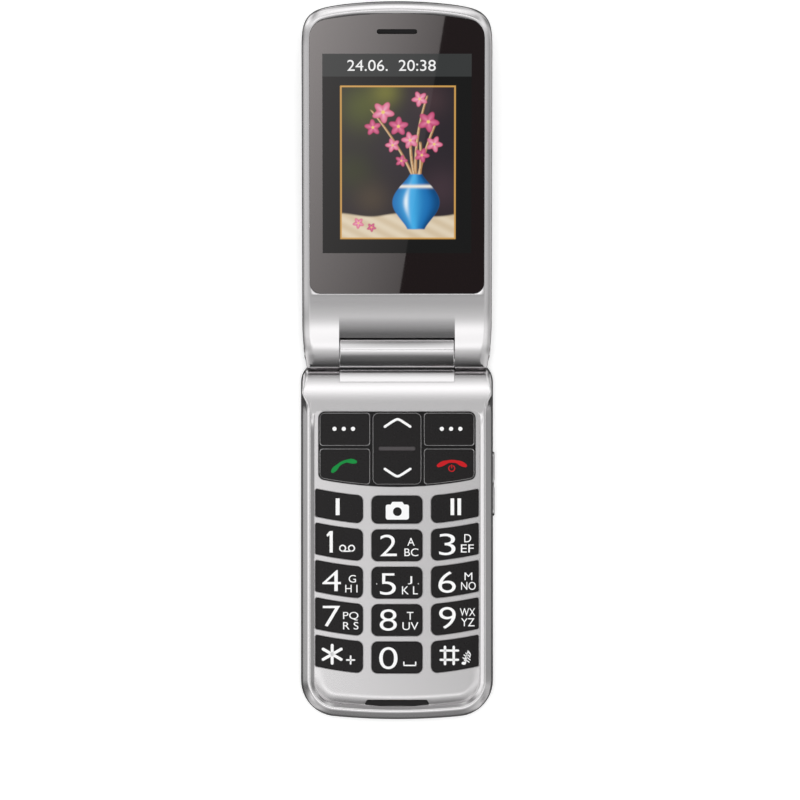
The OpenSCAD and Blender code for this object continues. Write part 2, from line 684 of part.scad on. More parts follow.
// ---- hinge ----
module hinge_barrel() {
    color([0.77, 0.76, 0.77]) difference() {
        union() {
            translate([0, axis_y, axis_z]) across(barrel_r, -barrel_half, barrel_half);
            base_side(concat([[1.2, split_z + 1.2], [1.2, split_z + 3.2], [2.4, base_t + 0.6],
                [3.4, base_t - 1.2], [4.5, base_t - 2.1]], oval_points([7.3, base_t - 3], 3, 3, 150, 90, 6),
                [[7.8, base_t], [7.8, split_z], [2.6, split_z]]), -barrel_half, barrel_half);
        }
        translate([0, axis_y, axis_z]) {
            across(cam_r + 0.05, -barrel_half - 1, flex_room);
            across(pin_r + pin_gap, 0, barrel_half + 1);
        }
        // Way for the flex down to the main board
        base_side([[1.4, axis_z - 2.4], [2.2, axis_z - 1.4], [7.4, board_top + 0.9], [9, board_top + 0.9],
            [9, board_top - 0.4], [6, board_top - 0.4]], flex_way[0], flex_way[1]);
    }
}
module hinge_cam_unit() {
    color([0.7, 0.7, 0.72]) translate([0, axis_y, axis_z]) difference() {
        across(cam_r, -barrel_half + 0.1, 2);
        across(pin_r + pin_gap, -barrel_half, -shaft_in + 0.2);
    }
}
module hinge_drive_shaft() {
    color([0.8, 0.8, 0.8]) in_lid() across(pin_r, -pin_out, -shaft_in);
}
module hinge_pin() {
    color([0.8, 0.8, 0.8]) in_lid() across(pin_r, flex_room + 0.3, pin_out);
}
module hinge_flex() {
    color([0.75, 0.5, 0.2]) union() {
        translate([0, axis_y, axis_z]) difference() {
            across(2.6, flex_x[0], flex_x[1]);
            across(2.2, flex_x[0] - 1, flex_x[1] + 1);
        }
        base_side([[1.55, axis_z - 2.15], [1.75, axis_z - 1.85], [6.9, board_top + 0.3],
            [11.5, board_top + 0.3], [11.5, board_top], [6.7, board_top]], flex_x[0], flex_x[1]);
    }
}
module hinge_caps() {
    color([0.83, 0.82, 0.83]) in_lid() for (side = [-1, 1])
        across(cap_r, side > 0 ? cap_in : -cap_out, side > 0 ? cap_out : -cap_in);
}

// ---- small parts of the base ----
module loudspeaker() {
    color([0.12, 0.12, 0.13]) base_plan(plan_rect(speaker[0], speaker[1], speaker[2], speaker[3], 2), wall,
        wall + speaker_t);
}
module microphone() {
    color([0.75, 0.7, 0.5]) base_box(-2, 2, base_len - 8, base_len - 5.2, board_top, board_top + 1.1);
}
module usb_socket() {
    color([0.7, 0.7, 0.72]) difference() {
        base_box(-base_half + 0.6, -base_half + 6, usb_far - usb_half, usb_far + usb_half, usb_low,
            board_bottom);
        base_box(-base_half - 1, -base_half + 5, usb_far - usb_half + 0.4, usb_far + usb_half - 0.4,
            usb_low + 0.4, board_bottom - 0.4);
    }
}
module sim_holder() {
    color([0.7, 0.7, 0.72]) base_box(-sim_half, sim_half, sim_near, sim_far, board_bottom - 1.2,
        board_bottom);
}
module vibration_motor() {
    color([0.7, 0.7, 0.72]) translate([0, below(motor_far), wall + motor_r]) across(motor_r, -room_half + 0.5,
        -sos_r - 3.5);
}
module antenna() {
    color([0.75, 0.6, 0.3]) base_box(-antenna_half, antenna_half, battery_far + 1.8, base_len - 4.8,
        cover_t + 1.05, board_bottom - 0.1);
}
module charging_contacts() {
    color([0.85, 0.68, 0.3]) for (x = [-5, 5]) base_box(x - 1.5, x + 1.5, base_len - 1.4, base_len - 0.7,
        3.25, 4.55);
}
module housing_screws() {
    color([0.6, 0.6, 0.62]) housing_screw_places() {
        translate([0, 0, screw_low]) cylinder(r = screw_r, h = screw_tip - screw_low);
        translate([0, 0, screw_low]) cylinder(r = screw_head_r, h = screw_head_t);
    }
}
module side_rocker() {
    color([0.8, 0.8, 0.81]) union() {
        base_box(base_half - 1.9, base_half + rocker_proud, rocker_far - rocker_half, rocker_far + rocker_half,
            split_z - rocker_h / 2, split_z + rocker_h / 2);
        rocker_pin(rocker_pin_r, 0.7);
        for (d = [-6, 6]) base_box(base_half - 2.3, base_half - 1.5, rocker_far + d - 0.6, rocker_far + d + 0.6,
            split_z - 0.6, split_z + 0.6);
    }
}
module sos_button() {
    color([0.75, 0.1, 0.1]) translate([0, below(sos_far), 0]) {
        translate([0, 0, 0.3]) cylinder(r = sos_r, h = wall);
        translate([0, 0, wall + 0.05]) cylinder(r = sos_r + sos_rim, h = 0.6);
        cylinder_from(2, wall, board_bottom - 0.85 - sos_travel);
    }
}

// ---- lid ----
module lid_arm_profile(x0, x1) lid_side(concat(arc_points([0, 0], arm_r, 90, 270, 16),
    [[0, split_w - 1], [far, split_w - 1], [far, arm_r + 1], [0, arm_r + 1]]), x0, x1);
module lid_notch() {
    reach = barrel_half + end_gap;
    across(barrel_r + notch_gap, -reach, reach);
    lid_side(concat([[-6, 6], [-6, -2.7], [4.9, -2.7]], [for (i = [0 : 8]) let (a = 162 - 9 * i)
        [roll_start, axis_rise + 0.2 - roll_r] + roll_r * [cos(a), sin(a)]], [[roll_start, 6]]), -reach, reach);
}
function window_outline(grow = 0) =
    let (half = window_half + grow, r = 3 + grow)
    concat(arc_points([half - r, window_near - grow + r], r, 270, 360, 5),
        bowed_end(half, lid_len - lid_top_rim + grow, lid_bow_r - lid_top_rim, lid_corner_r - lid_rim + grow),
        arc_points([-half + r, window_near - grow + r], r, 180, 270, 5));
module slot_plan(u, half, h, low, high) lid_plan(
    concat(arc_points([half - h / 2, u], h / 2, -90, 90, 8), arc_points([-half + h / 2, u], h / 2, 90, 270, 8)),
    low, high);
module lid_front_frame() {
    color([0.84, 0.83, 0.84]) in_lid() difference() {
        intersection() {
            lofted([for (r = lid_round) lid_ring(r[0], r[1], r[2])]);
            lid_arm_profile(-lid_w, lid_w);
        }
        lid_notch();
        // Seat of the display window and the opening for the display
        lid_plan(window_outline(glue_gap), window_low, axis_rise + 4);
        lid_box(-display_w / 2 - ledge_gap, display_w / 2 + ledge_gap, display_near - ledge_gap,
            display_far + ledge_gap, split_w - 1, axis_rise);
        // Chamber and slot of the earpiece
        lid_box(-earpiece_half - 0.2, earpiece_half + 0.2, slot_u - 2.2, slot_u + 2.2, split_w - 1,
            window_low - 0.6);
        slot_plan(slot_u, slot_half - 0.7, slot_h - 0.4, split_w, axis_rise);
        // Lightened chin
        lid_box(-lid_half + 5.1, lid_half - 5.1, lid_room_near + 1, display_near - 1.5, split_w - 1,
            window_low - 0.9);
        // Pins, end caps and screws
        for (side = [0, 1]) mirror([side, 0, 0]) {
            across(pin_r, barrel_half - 1, pin_out);
            across(cap_r + glue_gap, cap_in, lid_half + 2);
        }
        lid_screw_places() translate([0, 0, split_w - 1]) cylinder(r = screw_r, h = 4);
    }
}
module lid_screw_places() for (x = [-lid_screw_x, lid_screw_x]) translate([x, lid_screw_u, 0]) children();
module lid_rear_cover() {
    end_r = 2.6;
    inner = lid_back + wall - 0.1;
    color([0.13, 0.13, 0.14]) in_lid() difference() {
        intersection() {
            lofted([for (r = lid_back_round) [for (p = lid_outline(r[0])) [p[0], p[1], r[1]]]]);
            lid_side(concat([[lid_end, split_w + 1]], arc_points([lid_end + end_r, lid_back + end_r], end_r,
                180, 270, 6), [[lid_end + end_r, lid_back - 1], [far, lid_back - 1], [far, split_w + 1]]),
                -lid_w, lid_w);
        }
        lid_notch();
        // Room for the lid's parts
        lid_plan(concat([[-lid_half + 1.6, lid_room_near], [lid_half - 1.6, lid_room_near]],
            bowed_end(lid_half - 1.6, lid_len - 1.8, lid_bow_r - 1.8, lid_corner_r - 1.7)), inner, split_w + 1);
        // Seats of the outer window, the camera lens and the flash
        lid_plan(rounded([[-outer_half, outer_near], [outer_half, outer_near], [outer_half, outer_far],
            [-outer_half, outer_far]], [2, 2, 2, 2]), lid_back - 1, lid_back + outer_t + glue_gap);
        lid_box(-outer_half + 2, outer_half - 2, outer_near + 2, outer_far - 2, lid_back, split_w);
        translate([0, lens_u, lid_back - 1]) cylinder(r = lens_r + glue_gap, h = 2);
        translate([0, lens_u, lid_back - 1]) cylinder(r = lens_r - 0.6, h = 5);
        translate([led_x, lens_u, lid_back - 1]) cylinder(r = 1.2, h = 5);
        lid_screw_places() translate([0, 0, lid_back - 1]) {
            cylinder(r = screw_r + 0.05, h = 8);
            cylinder(r = screw_head_r + 0.1, h = 2.85);
        }
    }
}
module display_window() {
    color([0.1, 0.08, 0.08]) in_lid() difference() {
        lid_plan(window_outline(), window_low, window_top);
        slot_plan(slot_u, slot_half, slot_h, window_low - 1, window_top + 1);
    }
}
module display_module() {
    color([0.2, 0.2, 0.21]) in_lid() lid_box(-display_w / 2, display_w / 2, display_near, display_far,
        window_low - 0.05 - display_t, window_low - 0.05);
}
module earpiece() {
    color([0.2, 0.2, 0.2]) in_lid() lid_box(-earpiece_half, earpiece_half, slot_u - 2, slot_u + 2,
        window_low - 2.6, window_low - 0.65);
}
module earpiece_mesh() {
    color([0.1, 0.1, 0.1]) in_lid() slot_plan(slot_u, slot_half - glue_gap, slot_h - 2 * glue_gap, window_low,
        window_low + 0.3);
}
module lid_board() {
    color([0.1, 0.4, 0.22]) in_lid() difference() {
        lid_box(-lid_board_half, lid_board_half, lid_room_near + 2, lid_len - 5.6,
            split_w - lid_board_t - 0.05, split_w - 0.05);
        lid_box(-lens_r - 1, lens_r + 1, lens_u - lens_r - 1, lens_u + lens_r + 1, -lid_t, 0);
    }
}
module camera_module() {
    color([0.2, 0.2, 0.22]) in_lid() lid_box(-lens_r - 0.6, lens_r + 0.6, lens_u - lens_r - 0.6,
        lens_u + lens_r + 0.6, lid_back + wall, split_w - 0.1);
}
module camera_lens() {
    color([0.1, 0.1, 0.13]) in_lid() translate([0, lens_u, lid_back]) cylinder(r = lens_r, h = 0.97);
}
module outer_display_window() {
    color([0.08, 0.08, 0.09]) in_lid() lid_plan(rounded([[-outer_half + glue_gap, outer_near + glue_gap],
        [outer_half - glue_gap, outer_near + glue_gap], [outer_half - glue_gap, outer_far - glue_gap],
        [-outer_half + glue_gap, outer_far - glue_gap]], [2, 2, 2, 2]), lid_back, lid_back + outer_t);
}
module outer_display() {
    color([0.2, 0.2, 0.22]) in_lid() lid_box(-outer_half + 2.4, outer_half - 2.4, outer_near + 2.4,
        outer_far - 2.4, lid_back + outer_t + 0.05, split_w - lid_board_t - 0.4);
}
module lid_screws() {
    color([0.6, 0.6, 0.62]) in_lid() lid_screw_places() {
        translate([0, 0, lid_back + 0.95]) cylinder(r = screw_head_r, h = 0.8);
        translate([0, 0, lid_back + 0.95]) cylinder(r = screw_r, h = 5.2);
    }
}
module lid_magnet() {
    color([0.5, 0.5, 0.52]) in_lid() lid_box(lid_board_half - 5, lid_board_half - 1, lens_u + 1,
        lens_u + 5, lid_back + wall, split_w - lid_board_t - 0.3);
}
module flash_led() {
    color([0.95, 0.93, 0.75]) in_lid() translate([led_x, lens_u, lid_back + 0.2])
        cylinder(r = 1.15, h = -lid_back + split_w - lid_board_t - 0.3);
}

module cylinder_from(r, low, high) translate([0, 0, low]) cylinder(r = r, h = high - low);

module soft_key_left() panel_solid(-1, false);
module soft_key_right() panel_solid(1, false);
module call_key() panel_solid(-1, true);
module end_key() panel_solid(1, true);

module memory_key_1() grid_solid(-1, -1);
module camera_key() grid_solid(0, -1);
module memory_key_2() grid_solid(1, -1);
module key_1() grid_solid(-1, 0);
module key_2() grid_solid(0, 0);
module key_3() grid_solid(1, 0);
module key_4() grid_solid(-1, 1);
module key_5() grid_solid(0, 1);
module key_6() grid_solid(1, 1);
module key_7() grid_solid(-1, 2);
module key_8() grid_solid(0, 2);
module key_9() grid_solid(1, 2);
module key_star() grid_solid(-1, 3);
module key_0() grid_solid(0, 3);
module key_hash() grid_solid(1, 3);

base_front_frame();
keypad_plate();
function_panel();
base_rear_housing();
battery_cover();
battery();
main_board();
shield_cans();
dome_sheet();
hinge_barrel();
hinge_cam_unit();
hinge_drive_shaft();
hinge_pin();
hinge_flex();
hinge_caps();
loudspeaker();
microphone();
microphone_insert();
usb_socket();
sim_holder();
vibration_motor();
antenna();
charging_contacts();
housing_screws();
side_rocker();
sos_button();
soft_key_left();
soft_key_right();
call_key();
end_key();
nav_rocker();
memory_key_1();
camera_key();
memory_key_2();
key_1();
key_2();
key_3();
key_4();
key_5();
key_6();
key_7();
key_8();
key_9();
key_star();
key_0();
key_hash();
lid_front_frame();
lid_rear_cover();
display_window();
display_module();
earpiece();
earpiece_mesh();
lid_board();
camera_module();
camera_lens();
outer_display_window();
outer_display();
lid_screws();
lid_magnet();
flash_led();
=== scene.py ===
"""A clamshell phone, open on its back: silver painted shells, gloss black glass and moulded black keys.

Shapes are worked out in millimetres and turned to metres when a mesh is made. In the base, x runs across
and d is the distance from the hinge axis down the phone. In the lid, u is the distance from the axis along
the lid and w the height over the axis, square to the lid's face."""
import math

import bpy
import numpy as np
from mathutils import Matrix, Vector, geometry


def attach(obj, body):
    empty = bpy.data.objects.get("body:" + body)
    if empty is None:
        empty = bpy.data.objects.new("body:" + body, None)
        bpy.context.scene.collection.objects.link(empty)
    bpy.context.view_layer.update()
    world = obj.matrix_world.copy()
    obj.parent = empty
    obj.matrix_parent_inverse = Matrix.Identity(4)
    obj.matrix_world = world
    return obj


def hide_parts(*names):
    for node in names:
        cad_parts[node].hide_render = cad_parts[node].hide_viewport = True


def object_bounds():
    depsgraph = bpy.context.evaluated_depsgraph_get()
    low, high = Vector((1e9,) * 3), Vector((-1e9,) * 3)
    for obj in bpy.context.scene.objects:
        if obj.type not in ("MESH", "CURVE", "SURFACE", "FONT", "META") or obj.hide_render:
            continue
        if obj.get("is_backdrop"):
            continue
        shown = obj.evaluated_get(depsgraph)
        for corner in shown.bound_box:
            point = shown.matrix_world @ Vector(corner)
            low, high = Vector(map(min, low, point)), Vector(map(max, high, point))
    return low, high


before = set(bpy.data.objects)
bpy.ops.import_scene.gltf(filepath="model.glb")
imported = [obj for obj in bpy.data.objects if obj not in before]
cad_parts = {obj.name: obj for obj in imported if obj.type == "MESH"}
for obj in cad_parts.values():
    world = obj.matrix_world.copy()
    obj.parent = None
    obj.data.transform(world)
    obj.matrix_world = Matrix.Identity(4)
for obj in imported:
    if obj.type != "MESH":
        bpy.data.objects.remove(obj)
cad_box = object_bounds()

# ---- sizes, in mm ----
BASE_HALF, BASE_LEN, BASE_TOP, SPLIT_Z = 26.5, 101.0, 11.4, 6.4
NEAR, NEAR_CORNER_R, FAR_BOW_R, FAR_CORNER_R = 2.2, 5.5, 180, 10
LID_HALF, LID_LEN, SPLIT_W, FACE_W = 26.1, 99.6, -3.3, 1.0
AXIS_Y, AXIS_Z, LEAN = 50.5, 12.8, math.radians(15)
BARREL_HALF, ROOM_HALF = 15.8, 15.95
PLATE_TOP, PLATE_LOW, CROWN_R = 11.05, 9.85, 330.0
WINDOW_HALF, WINDOW_NEAR, WINDOW_FAR, WINDOW_TOP = 23.95, 17.3, 96.2, 0.75
FIRST_ROW, ROW_PITCH, KEY_LEN, MEMORY_ROW, MEMORY_LEN = 48.6, 10.32, 8.72, 39.25, 7.7
KEY_IN, KEY_OUT, MIDDLE_HALF, ROW_BOW_R, KEY_R = 9.4, 22.6, 7.05, 108.5, 1.7
PANEL_HALF, PANEL_NEAR, PANEL_FAR = 21.7, 16.05, 36.8
NAV_HALF, SOFT_IN, SOFT_FAR, CALL_NEAR, PANEL_EDGE = 6.55, 7.6, 25.3, 26.45, 0.5
KEY_GAP, CAP_LOW = 0.15, 8.6
# How far the tops of the grid's keys and of the panel's keys stand over the crown
GRID_LIFT, PANEL_LIFT = 0.45, 0.25
LONGEST_SIDE = 1.2
# The camera's place in the frame
EYE = np.array([0.83, 37.66, 2511.4])


# ---- colours and materials ----
def linear(code):
    """Turns an sRGB hex colour to linear values: each channel over 0.04045 is ((c + 0.055) / 1.055) ^ 2.4."""
    c = np.array([int(code[i:i + 2], 16) for i in (1, 3, 5)]) / 255
    return (*np.where(c <= 0.04045, c / 12.92, ((c + 0.055) / 1.055) ** 2.4), 1.0)


def add(tree, kind, settings=None, **links):
    """Adds a node. Settings are attributes of the node, links are inputs: a value, or a socket to join to."""
    node = tree.nodes.new(kind)
    for key, value in (settings or {}).items():
        setattr(node, key, value)
    for key, value in links.items():
        socket = node.inputs[int(key[1:]) if key[0] == "i" and key[1:].isdigit() else key.replace("_", " ")]
        if isinstance(value, bpy.types.NodeSocket):
            tree.links.new(value, socket)
        else:
            socket.default_value = value
    return node


def finish(name, colour, rough, metallic=0.0, vary=0.0, grain=0.0, scale=400.0, bump=0.0, **sockets):
    """A Principled material. Its roughness wanders by vary and its colour by grain over noise of that scale
    in waves per metre, and bump is the height of the same noise in metres."""
    material = bpy.data.materials.new(name)
    material.use_nodes = True
    tree = material.node_tree
    shader = tree.nodes["Principled BSDF"]
    shader.inputs["Base Color"].default_value = linear(colour)
    shader.inputs["Roughness"].default_value = rough
    shader.inputs["Metallic"].default_value = metallic
    for key, value in sockets.items():
        shader.inputs[key.replace("_", " ")].default_value = value
    if vary or grain or bump:
        place = add(tree, "ShaderNodeTexCoord").outputs["Object"]
        noise = add(tree, "ShaderNodeTexNoise", Vector=place, Scale=scale, Detail=4.0).outputs["Fac"]
        if vary:
            band = add(tree, "ShaderNodeMapRange", Value=noise, From_Min=0.3, From_Max=0.7,
                       To_Min=rough - vary, To_Max=rough + vary)
            tree.links.new(band.outputs["Result"], shader.inputs["Roughness"])
        if grain:
            shade = np.array(linear(colour)[:3])
            mix = add(tree, "ShaderNodeMix", {"data_type": "RGBA"}, i0=noise,
                      i6=(*(shade * (1 - grain)), 1), i7=(*np.minimum(shade * (1 + grain), 1), 1))
            tree.links.new(mix.outputs[2], shader.inputs["Base Color"])
        if bump:
            lift = add(tree, "ShaderNodeBump", Height=noise, Distance=bump, Strength=1.0)
            tree.links.new(lift.outputs["Normal"], shader.inputs["Normal"])
    return material


FLAKE = dict(vary=0.02, grain=0.015, scale=9000, bump=2e-7)
LOOKS = {
    # Silver paint with a fine metal flake on moulded ABS: reflects broadly, with a soft grain
    "silver_paint_base": finish("silver_flake_paint", "#F4F2F3", 0.2, 1.0, **FLAKE),
    "silver_paint_lid": finish("silver_flake_paint_lid", "#F4F2F3", 0.2, 1.0, **FLAKE),
    "silver_paint_plate": finish("silver_satin_paint", "#EFEDEE", 0.25, 1.0, vary=0.01, grain=0.003,
                                 scale=9000),
    # Chrome plated trim: nearly a mirror
    "silver_trim": finish("bright_plating", "#EDECEC", 0.16, 1.0, vary=0.03, scale=900),
    # Printed acrylic window: a clear glossy surface over black ink
    "window_glass": finish("acrylic_window_black", "#160C0D", 0.012, vary=0.004, scale=150, IOR=1.49,
                           Specular_IOR_Level=0.25),
    # Moulded polycarbonate keys and panel: black with a satin spark finish
    "key_black": finish("satin_black_polycarbonate", "#100D0E", 0.3, vary=0.04, scale=2500, bump=3e-7,
                        IOR=1.38),
    "gloss_black": finish("gloss_black_polycarbonate", "#0D0B0C", 0.18, vary=0.03, scale=2500, IOR=1.4),
    # Dark moulded ABS housing with fine spark erosion texture
    "housing_black": finish("textured_black_abs", "#18181A", 0.5, vary=0.06, grain=0.1, scale=3000, bump=6e-6),
    # Piano black lacquer on the lid's back
    "lid_back_black": finish("piano_black_lacquer", "#08080A", 0.08, vary=0.02, scale=120, Coat_Weight=1.0,
                             Coat_Roughness=0.03),
    "rubber_black": finish("black_rubber_and_painted_shade", "#141314", 0.7, grain=0.1, scale=2500),
    "board_green": finish("solder_mask", "#12572E", 0.35, grain=0.15, scale=900),
    "film": finish("polyester_film", "#CFCDBE", 0.3),
    "steel": finish("stamped_steel", "#A9A9AC", 0.3, 1.0, vary=0.05, scale=1500),
    "gold": finish("gold_plated_contact", "#D9A944", 0.2, 1.0, vary=0.03, scale=1500),
    "flex_amber": finish("polyimide_flex", "#B9772A", 0.3),
    "battery_wrap": finish("battery_wrap", "#3A4256", 0.4, grain=0.08, scale=600),
    "red_button": finish("red_satin_abs", "#B5161A", 0.28, vary=0.03, scale=2000, bump=4e-7),
    "lens": finish("coated_lens", "#05060B", 0.03, Coat_Weight=1.0, Coat_Tint=(0.6, 0.6, 1.0, 1.0)),
    "diffuser": finish("milky_diffuser", "#F1EDCB", 0.25, grain=0.05, scale=2000)}
LOOKS["display"] = LOOKS["window_glass"]
# The nav rocker's ridge is black plastic; its lighter grey is a painted highlight for the light the ridge
# catches
bar_highlight_grey = finish("grey_painted_highlight_polycarbonate", "#454143", 0.35, vary=0.04, scale=2500)
# Screen printed ink on the keys
white_ink = finish("white_screen_print", "#FAFAFA", 0.45)
green_ink = finish("green_screen_print", "#068C3D", 0.5, Specular_IOR_Level=0.3)
red_ink = finish("red_screen_print", "#C60E18", 0.5, Specular_IOR_Level=0.3)


# ---- shape tools ----
def unit(v):
    return v / np.linalg.norm(v)


def arc(centre, radius, start, end, steps):
    """Points at equal angles on a circle, in degrees. Radius may have a value for each point."""
    a = np.radians(np.linspace(start, end, steps + 1))
    return np.c_[centre[0] + radius * np.cos(a), centre[1] + radius * np.sin(a)]


def circle(x, y, r, steps=48):
    return arc((x, y), r, 0, 360, steps)[:-1]


def eased(value, low, high):
    """Nought below low, one above high, eased between."""
    t = np.clip((value - low) / (high - low), 0, 1)
    return t * t * (3 - 2 * t)


def rounded(corners, radii, steps=8):
    """A polygon whose corners are arcs that touch both of their sides."""
    corners = np.asarray(corners, float)
    parts = []
    for i, (p, r) in enumerate(zip(corners, radii)):
        if r <= 0:
            parts.append(p[None])
            continue
        a, b = unit(corners[i - 1] - p), unit(corners[(i + 1) % len(corners)] - p)
        half = math.acos(np.clip(a @ b, -1, 1)) / 2
        centre = p + unit(a + b) * r / math.sin(half)
        first, last = p + a * r / math.tan(half) - centre, p + b * r / math.tan(half) - centre
        a0 = math.atan2(first[1], first[0])
        turn = (math.atan2(last[1], last[0]) - a0 + math.pi) % (2 * math.pi) - math.pi
        angles = a0 + turn * np.linspace(0, 1, steps + 1)
        parts.append(centre + r * np.c_[np.cos(angles), np.sin(angles)])
    return np.concatenate(parts)


def split_long(points, longest):
    """A closed polygon with each side cut to equal lengths of at most that."""
    sides = np.roll(points, -1, 0) - points
    counts = np.maximum(1, np.ceil(np.linalg.norm(sides, axis=1) / longest).astype(int))
    which = np.repeat(np.arange(len(points)), counts)
    share = (np.arange(len(which)) - np.repeat(np.cumsum(counts) - counts, counts)) / counts[which]
    return points[which] + sides[which] * share[:, None]


def anticlockwise(points):
    """The polygon, turned round if its area is negative."""
    points = np.asarray(points, float)
    x, y = points.T
    return points if np.sum(x * np.roll(y, -1) - np.roll(x, -1) * y) > 0 else points[::-1]


def drawn_in(points, inset):
    """A closed anticlockwise polygon moved inwards along the bisector at each point."""
    ahead = np.roll(points, -1, 0) - points
    ahead /= np.linalg.norm(ahead, axis=1)[:, None]
    normal = np.c_[ahead[:, 1], -ahead[:, 0]]
    both = normal + np.roll(normal, 1, 0)
    both /= np.maximum(np.sum(both * both, 1) / 2, 0.5)[:, None]
    return points - inset * both


def ring_quads(rings, count, first=0):
    """Quads between closed rings of equal count, one after another."""
    k, j = np.meshgrid(np.arange(rings - 1), np.arange(count), indexing="ij")
    a, b = k * count + j, k * count + (j + 1) % count
    return (np.stack([a, b, b + count, a + count], -1).reshape(-1, 4) + first).tolist()


def grid_quads(rows, columns):
    """Quads of a grid of points, row by row."""
    k, j = np.meshgrid(np.arange(rows - 1), np.arange(columns - 1), indexing="ij")
    a = k * columns + j
    return np.stack([a, a + 1, a + columns + 1, a + columns], -1).reshape(-1, 4).tolist()


def in_base(x, d, z):
    """Base coordinates to the frame's."""
    return np.stack([x, AXIS_Y - d, z], -1)


def square_to_lid(x, u, w):
    """Lid coordinates to the frame's: turned up by the lean about the hinge axis."""
    c, s = math.cos(LEAN), math.sin(LEAN)
    return np.stack([x, AXIS_Y + u * c - w * s, AXIS_Z + u * s + w * c], -1)


def in_lid(x, u, w):
    """The same for the lid's own surfaces. Its end face leans back under its rim, by 0.23 for each mm of
    depth, and this fades out along the last 14 mm."""
    return square_to_lid(x, u - 0.23 * np.clip(-0.6 - w, 0, None) * eased(u, 85.6, 99.6), w)


def level(place, edge, height):
    """An outline at one height, turned to the frame by place."""
    return place(*edge.T, np.full(len(edge), float(height)))


def crowned(x, z=PLATE_TOP):
    """Height of the keypad's crown: a wide circle across, z at the middle."""
    return z - CROWN_R + np.sqrt(CROWN_R ** 2 - x * x)


def mesh_object(name, points, faces):
    """An object in the scene, from points in mm."""
    mesh = bpy.data.meshes.new(name)
    mesh.from_pydata((np.asarray(points, float).reshape(-1, 3) * 0.001).tolist(), [], faces)
    piece = bpy.data.objects.new(name, mesh)
    bpy.context.scene.collection.objects.link(piece)
    return piece


def new_piece(name, points, faces, slot, body, replaces=(), sharp=40, material=None):
    """A piece of the phone that rides on a body, shaded smooth up to the sharp angle. It has the look of its
    slot unless a material is given."""
    piece = mesh_object(name, points, faces)
    mesh = piece.data
    mesh.materials.append(material or LOOKS[slot])
    mesh.polygons.foreach_set("use_smooth", np.ones(len(mesh.polygons), bool))
    mesh.set_sharp_from_angle(angle=math.radians(sharp))
    mesh.update()
    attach(piece, body)
    if replaces:
        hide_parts(*replaces)
    return piece


def evaluated(piece):
    """The points and faces of an object's final mesh."""
    mesh = bpy.data.meshes.new_from_object(piece.evaluated_get(bpy.context.evaluated_depsgraph_get()))
    points = np.empty(len(mesh.vertices) * 3)
    mesh.vertices.foreach_get("co", points)
    return points.reshape(-1, 3), [list(p.vertices) for p in mesh.polygons]


def carve(shape, cuts=(), clip=()):
    """A closed shape clipped to some shapes and cut by others, each given as its points and faces."""
    made = [mesh_object("carved", *one) for one in (shape, *clip, *cuts)]
    for i, piece in enumerate(made):
        piece.data.validate()
        if i:
            cut = made[0].modifiers.new("cut", "BOOLEAN")
            cut.operation, cut.solver = "INTERSECT" if i <= len(clip) else "DIFFERENCE", "MANIFOLD"
            cut.object = piece
    points, faces = evaluated(made[0])
    for piece in made:
        bpy.data.objects.remove(piece)
    return points * 1000, faces


def outward(points, faces):
    """The faces, all turned over if the closed shape's volume is negative."""
    volume = 0.0
    by_size = {}
    for face in faces:
        by_size.setdefault(len(face), []).append(face)
    for size, group in by_size.items():
        p = points[np.array(group)]
        for i in range(1, size - 1):
            volume += np.einsum("ij,ij->", p[:, 0], np.cross(p[:, i], p[:, i + 1]))
    return faces if volume > 0 else [f[::-1] for f in faces]


def joined(low, high):
    """A closed shape between two rings of equal count, with a flat cap on each."""
    n = len(low)
    points = np.concatenate([low, high])
    return points, outward(points, ring_quads(2, n) + [list(range(n))[::-1], list(range(n, 2 * n))])


def prism(profile, x0, x1, place):
    """A closed side profile run across from x0 to x1. Place turns x and the profile's two values to the
    frame."""
    profile = anticlockwise(profile)
    return joined(*(place(np.full(len(profile), float(x)), *profile.T) for x in (x0, x1)))


def box(x0, x1, d0, d1, z0, z1):
    return prism([[d0, z0], [d1, z0], [d1, z1], [d0, z1]], x0, x1, in_base)


def raised(outline, low, high, place=in_base):
    """A closed shape over an outline, from one height to another."""
    return joined(level(place, outline, low), level(place, outline, high))


def strips(first, count):
    """Quads that close a ring across, from point j to its mirror point."""
    faces = []
    for j in range(count // 2):
        a, b, c, d = j, j + 1, count - 2 - j, count - 1 - j
        if b <= c:
            faces.append([first + i for i in ([a, b, c, d] if b < c else [a, b, d])])
    return faces


def lofted(rings):
    """A closed shape through rings of equal count, lowest first, capped by strips across."""
    rings = np.asarray(rings)
    count = rings.shape[1]
    faces = ring_quads(len(rings), count)
    faces += [f[::-1] for f in strips(0, count)] + strips((len(rings) - 1) * count, count)
    points = rings.reshape(-1, 3)
    return points, outward(points, faces)


# ---- outlines ----
def bowed_end(half, tip, bow_r, corner_r, steps=14):
    """The far end of a slab: a corner arc, a shallow bow that touches it, and the other corner."""
    cx, reach = half - corner_r, bow_r - corner_r
    cy = tip - bow_r + math.sqrt(reach ** 2 - cx ** 2)
    a = math.degrees(math.asin(cx / reach))
    bow = arc((0, tip - bow_r), bow_r, 90 - a, 90 + a, 3 * steps)[1:-1]
    return np.concatenate([arc((cx, cy), corner_r, 0, 90 - a, steps), bow,
                           arc((-cx, cy), corner_r, 90 + a, 180, steps)])


def side_run(x, start, end, steps):
    return np.c_[np.full(steps, float(x)), np.linspace(start, end, steps + 2)[1:-1]]


